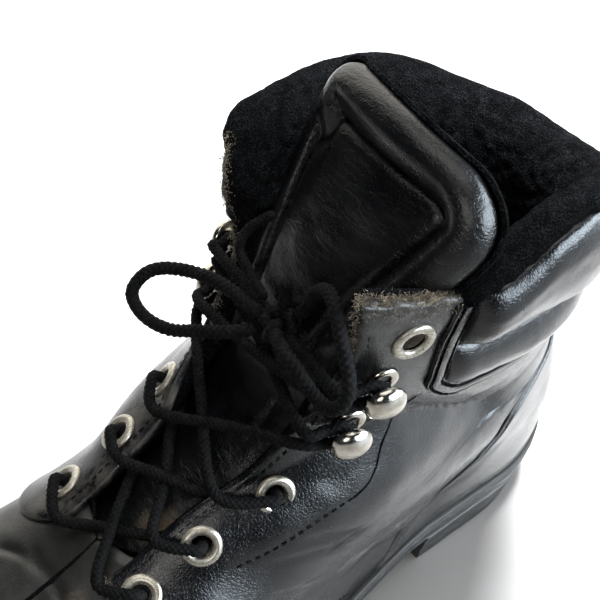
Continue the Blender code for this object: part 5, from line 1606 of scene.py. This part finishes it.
# eyelets and lace hooks
def eyeletModel():
    plan = fittingPlan
    bpy.ops.object.select_all(action="DESELECT")
    bpy.ops.mesh.primitive_torus_add(major_segments=48, minor_segments=14,
                                     major_radius=plan["flange"] - plan["tube"], minor_radius=plan["tube"])
    ring = bpy.context.object
    ring.scale = (1, 1, 0.72)
    ring.location = (0, 0, 0.0002)
    bpy.ops.object.transform_apply(location=True, rotation=True, scale=True)
    bpy.ops.object.select_all(action="DESELECT")
    bpy.ops.mesh.primitive_cylinder_add(vertices=48, radius=plan["bore"] + 0.00015, depth=0.0042,
                                        end_fill_type="NOTHING", location=(0, 0, -0.0019))
    barrel = bpy.context.object
    applied(barrel, "SOLIDIFY", thickness=0.0003, offset=1.0)
    return joined("eyelet", [ring, barrel])


def hookModel():
    plan = fittingPlan
    bpy.ops.object.select_all(action="DESELECT")
    tube = plan["hookTube"]
    bpy.ops.mesh.primitive_torus_add(major_segments=40, minor_segments=12, minor_radius=tube,
                                     major_radius=plan["hookDisc"] - tube)
    disc = bpy.context.object
    disc.scale = (1, 1, 0.6)
    disc.location = (-0.0006, 0, 0.0006)
    bpy.ops.object.transform_apply(location=True, rotation=True, scale=True)
    bpy.ops.object.select_all(action="DESELECT")
    bpy.ops.mesh.primitive_cylinder_add(vertices=20, radius=plan["hookNeck"], depth=plan["neckLong"],
                                        location=(plan["neckReach"], 0, plan["neckLong"] / 2))
    neck = bpy.context.object
    applied(neck, "BEVEL", width=0.0004, segments=2)
    bpy.ops.object.select_all(action="DESELECT")
    bpy.ops.mesh.primitive_uv_sphere_add(segments=40, ring_count=24, radius=plan["hookDome"])
    dome = bpy.context.object
    spots = verticesOf(dome)
    below = spots[:, 2] < 0
    spots[:, 2] = np.where(below, spots[:, 2] * 0.30, spots[:, 2] * plan["hookFlat"] * 1.15)
    spots += (plan["hookLean"], 0, plan["hookRise"])
    return joined("hook", [disc, neck, placeVertices(dome, spots)])


def addFittings():
    models = {"eyelet": eyeletModel(), "hook": hookModel()}
    finishes = {"eyelet": satinNickel, "hook": nickelPlate}
    for (sideName, number), place in seats.items():
        kind = place["kind"]
        piece = models[kind].copy()
        piece.data = models[kind].data.copy()
        piece.name = f"{kind}{sideName.capitalize()}{number}"
        bpy.context.scene.collection.objects.link(piece)
        size = fittingPlan["topSize"] if number == len(fittingPlan["rows"]) else 1.0
        piece.matrix_world = Matrix(seatMatrix(place).tolist()) @ Matrix.Diagonal((size, size, 1.0, 1.0))
        settle(piece, finishes[kind], [f"{kind}_{sideName}_{number}"], 40)
    for model in models.values():
        bpy.data.objects.remove(model)


addFittings()
print("fittings set")

# frayed fibres on the worn edges
frayPlan = {"length": (0.0005, 0.0014), "width": 0.00015, "seed": 7}


def fibreModel():
    bpy.ops.object.select_all(action="DESELECT")
    bpy.ops.mesh.primitive_cone_add(vertices=3, radius1=1.0, radius2=0.25, depth=1.0, location=(0, 0, 0.5))
    model = bpy.context.object
    bpy.ops.object.transform_apply(location=True, rotation=True, scale=True)
    inEditMode(model, lambda: bpy.ops.mesh.subdivide(number_cuts=1))
    spots = verticesOf(model)
    spots[:, 0] += 3.0 * spots[:, 2] ** 2
    return placeVertices(model, spots)


def addFray():
    chance = np.random.default_rng(frayPlan["seed"])
    matrices = []

    def along(level, turn, count, out):
        pick = chance.random(count)
        spot = np.interp(pick, np.linspace(0, 1, len(level)), level)
        around = np.interp(pick, np.linspace(0, 1, len(turn)), turn)
        place = onLast(spot, around, out + chance.normal(0, 0.0010, count))
        normal, up = lastNormal(spot, around)
        run = unit(np.cross(normal, unit(up)))
        for k in range(count):
            way = unit(normal[k] * chance.normal(0.1, 0.6) + unit(up[k]) * chance.normal(0.4, 0.7)
                       + run[k] * chance.normal(0, 0.8))
            other = unit(np.cross(way, chance.normal(0, 1, 3)))
            long = chance.uniform(*frayPlan["length"])
            width = frayPlan["width"]
            matrices.append(axesMatrix(other * width, np.cross(way, other) * width, way * long, place[k]))

    top = lastForm["earTop"]
    ears = np.linspace(float(edgeTurn(top, 1)), float(turnAtX(top, 0.108, 1)), 20)
    along(np.full(20, top - 0.02), ears, 1500, 0.0026)
    for drop in (0.10, 0.20, 0.34):
        along(np.full(20, top - drop), ears, 70, 0.0048)
    level = np.linspace(11.2, top, 20)
    along(level, edgeTurn(level, 1), 260, 0.0026)
    level = np.linspace(9.2, top + 0.1, 30)
    along(level, edgeTurn(level, -1), 700, 0.0026)
    level = np.linspace(4.6, 6.0, 20)
    along(level, frontTurn(level, 1), 200, 0.0036)
    piece = copiesOf("frayedEdges", fibreModel(), matrices)
    settle(piece, frayedFibre, (), 80)


addFray()
print("edges frayed")

# floor, world and soft lights
studio = {
    "floor": (0.88, 0.88, 0.88, 1),
    # a dark room with a wide window low behind the heel and a pale backdrop past the far side
    "roomDark": (0.022, 0.025, 0.030, 1),
    # colour, way, spread as cosines, and height where it starts and ends
    "glows": [((11.0, 12.6, 14.0, 1), (-0.62, 0.72, 0.32), (0.70, 0.88), (0.05, 0.12), (0.48, 0.64)),
              ((2.0, 1.95, 1.80, 1), (-0.45, -0.85, 0.28), (0.70, 0.92), (-0.20, -0.10), (0.75, 0.95)),
              ((1.6, 1.58, 1.50, 1), (0.0, 0.0, 1.0), (0.84, 0.94), (0.50, 0.80), (1.5, 1.6))],
    # place, aim, size, watts, colour, seen in reflections, spread in degrees
    "lights": [((-0.15, -0.02, 0.62), (-0.15, -0.02, 0.0), 0.12, 0.42, (0.98, 0.99, 1.0), False, 40),
               ((-0.30, -0.34, 0.80), (-0.30, -0.34, 0.0), 0.40, 3.4, (0.98, 0.99, 1.0), False, 82),
               ((-0.80, 0.50, 0.55), (0.0, 0.0, 0.10), 0.45, 0.6, (0.88, 0.94, 1.0), False, 180),
               ((0.75, 0.60, 0.70), (0.05, 0.0, 0.06), 0.50, 2.0, (1.0, 0.97, 0.93), True, 180),
               ((0.0, 0.0, 1.60), (0.0, 0.0, 0.0), 1.50, 10.0, (1.0, 0.99, 0.97), False, 180)],
}


def addStudio():
    bpy.ops.object.select_all(action="DESELECT")
    bpy.ops.mesh.primitive_plane_add(size=8.0, location=(0, 0, -0.0004))
    floor = bpy.context.object
    floor.name = "floor"
    finish, tree, shader = startFinish("paleFloor")
    tone = noiseAt(tree, objectCoords(tree), 3.0, 2)
    tree.links.new(ramp(tree, tone, 0.2, 0.8, 0.55, 0.62), shader.inputs["Roughness"])
    shader.inputs["Base Color"].default_value = studio["floor"]
    floor.data.materials.append(finish)
    world = bpy.data.worlds.new("studioWorld")
    world.use_nodes = True
    tree = world.node_tree
    way = addNode(tree, "ShaderNodeTexCoord").outputs["Generated"]
    height = addNode(tree, "ShaderNodeSeparateXYZ", {0: way}).outputs["Z"]
    glow = studio["roomDark"]
    for colour, aim, spread, foot, head in studio["glows"]:
        facing = addNode(tree, "ShaderNodeVectorMath", {0: way, 1: aim}, operation="DOT_PRODUCT")
        band = times(tree, ramp(tree, height, *foot), ramp(tree, height, *head, 1.0, 0.0))
        inGlow = ramp(tree, facing.outputs["Value"], *spread)
        glow = blended(tree, times(tree, inGlow, band), glow, colour)
    tree.links.new(glow, tree.nodes["Background"].inputs["Color"])
    bpy.context.scene.world = world
    world.cycles_visibility.diffuse = False
    for place, aim, size, watts, colour, mirrored, spread in studio["lights"]:
        bpy.ops.object.light_add(type="AREA", location=place)
        lamp = bpy.context.object
        lamp.data.shape = "DISK"
        lamp.data.size = size
        lamp.data.energy = watts
        lamp.data.spread = math.radians(spread)
        lamp.data.color = colour
        lamp.visible_glossy = mirrored
        lamp.rotation_euler = (Vector(aim) - Vector(place)).to_track_quat("-Z", "Y").to_euler()
    bpy.context.scene.view_settings.view_transform = "Standard"


addStudio()
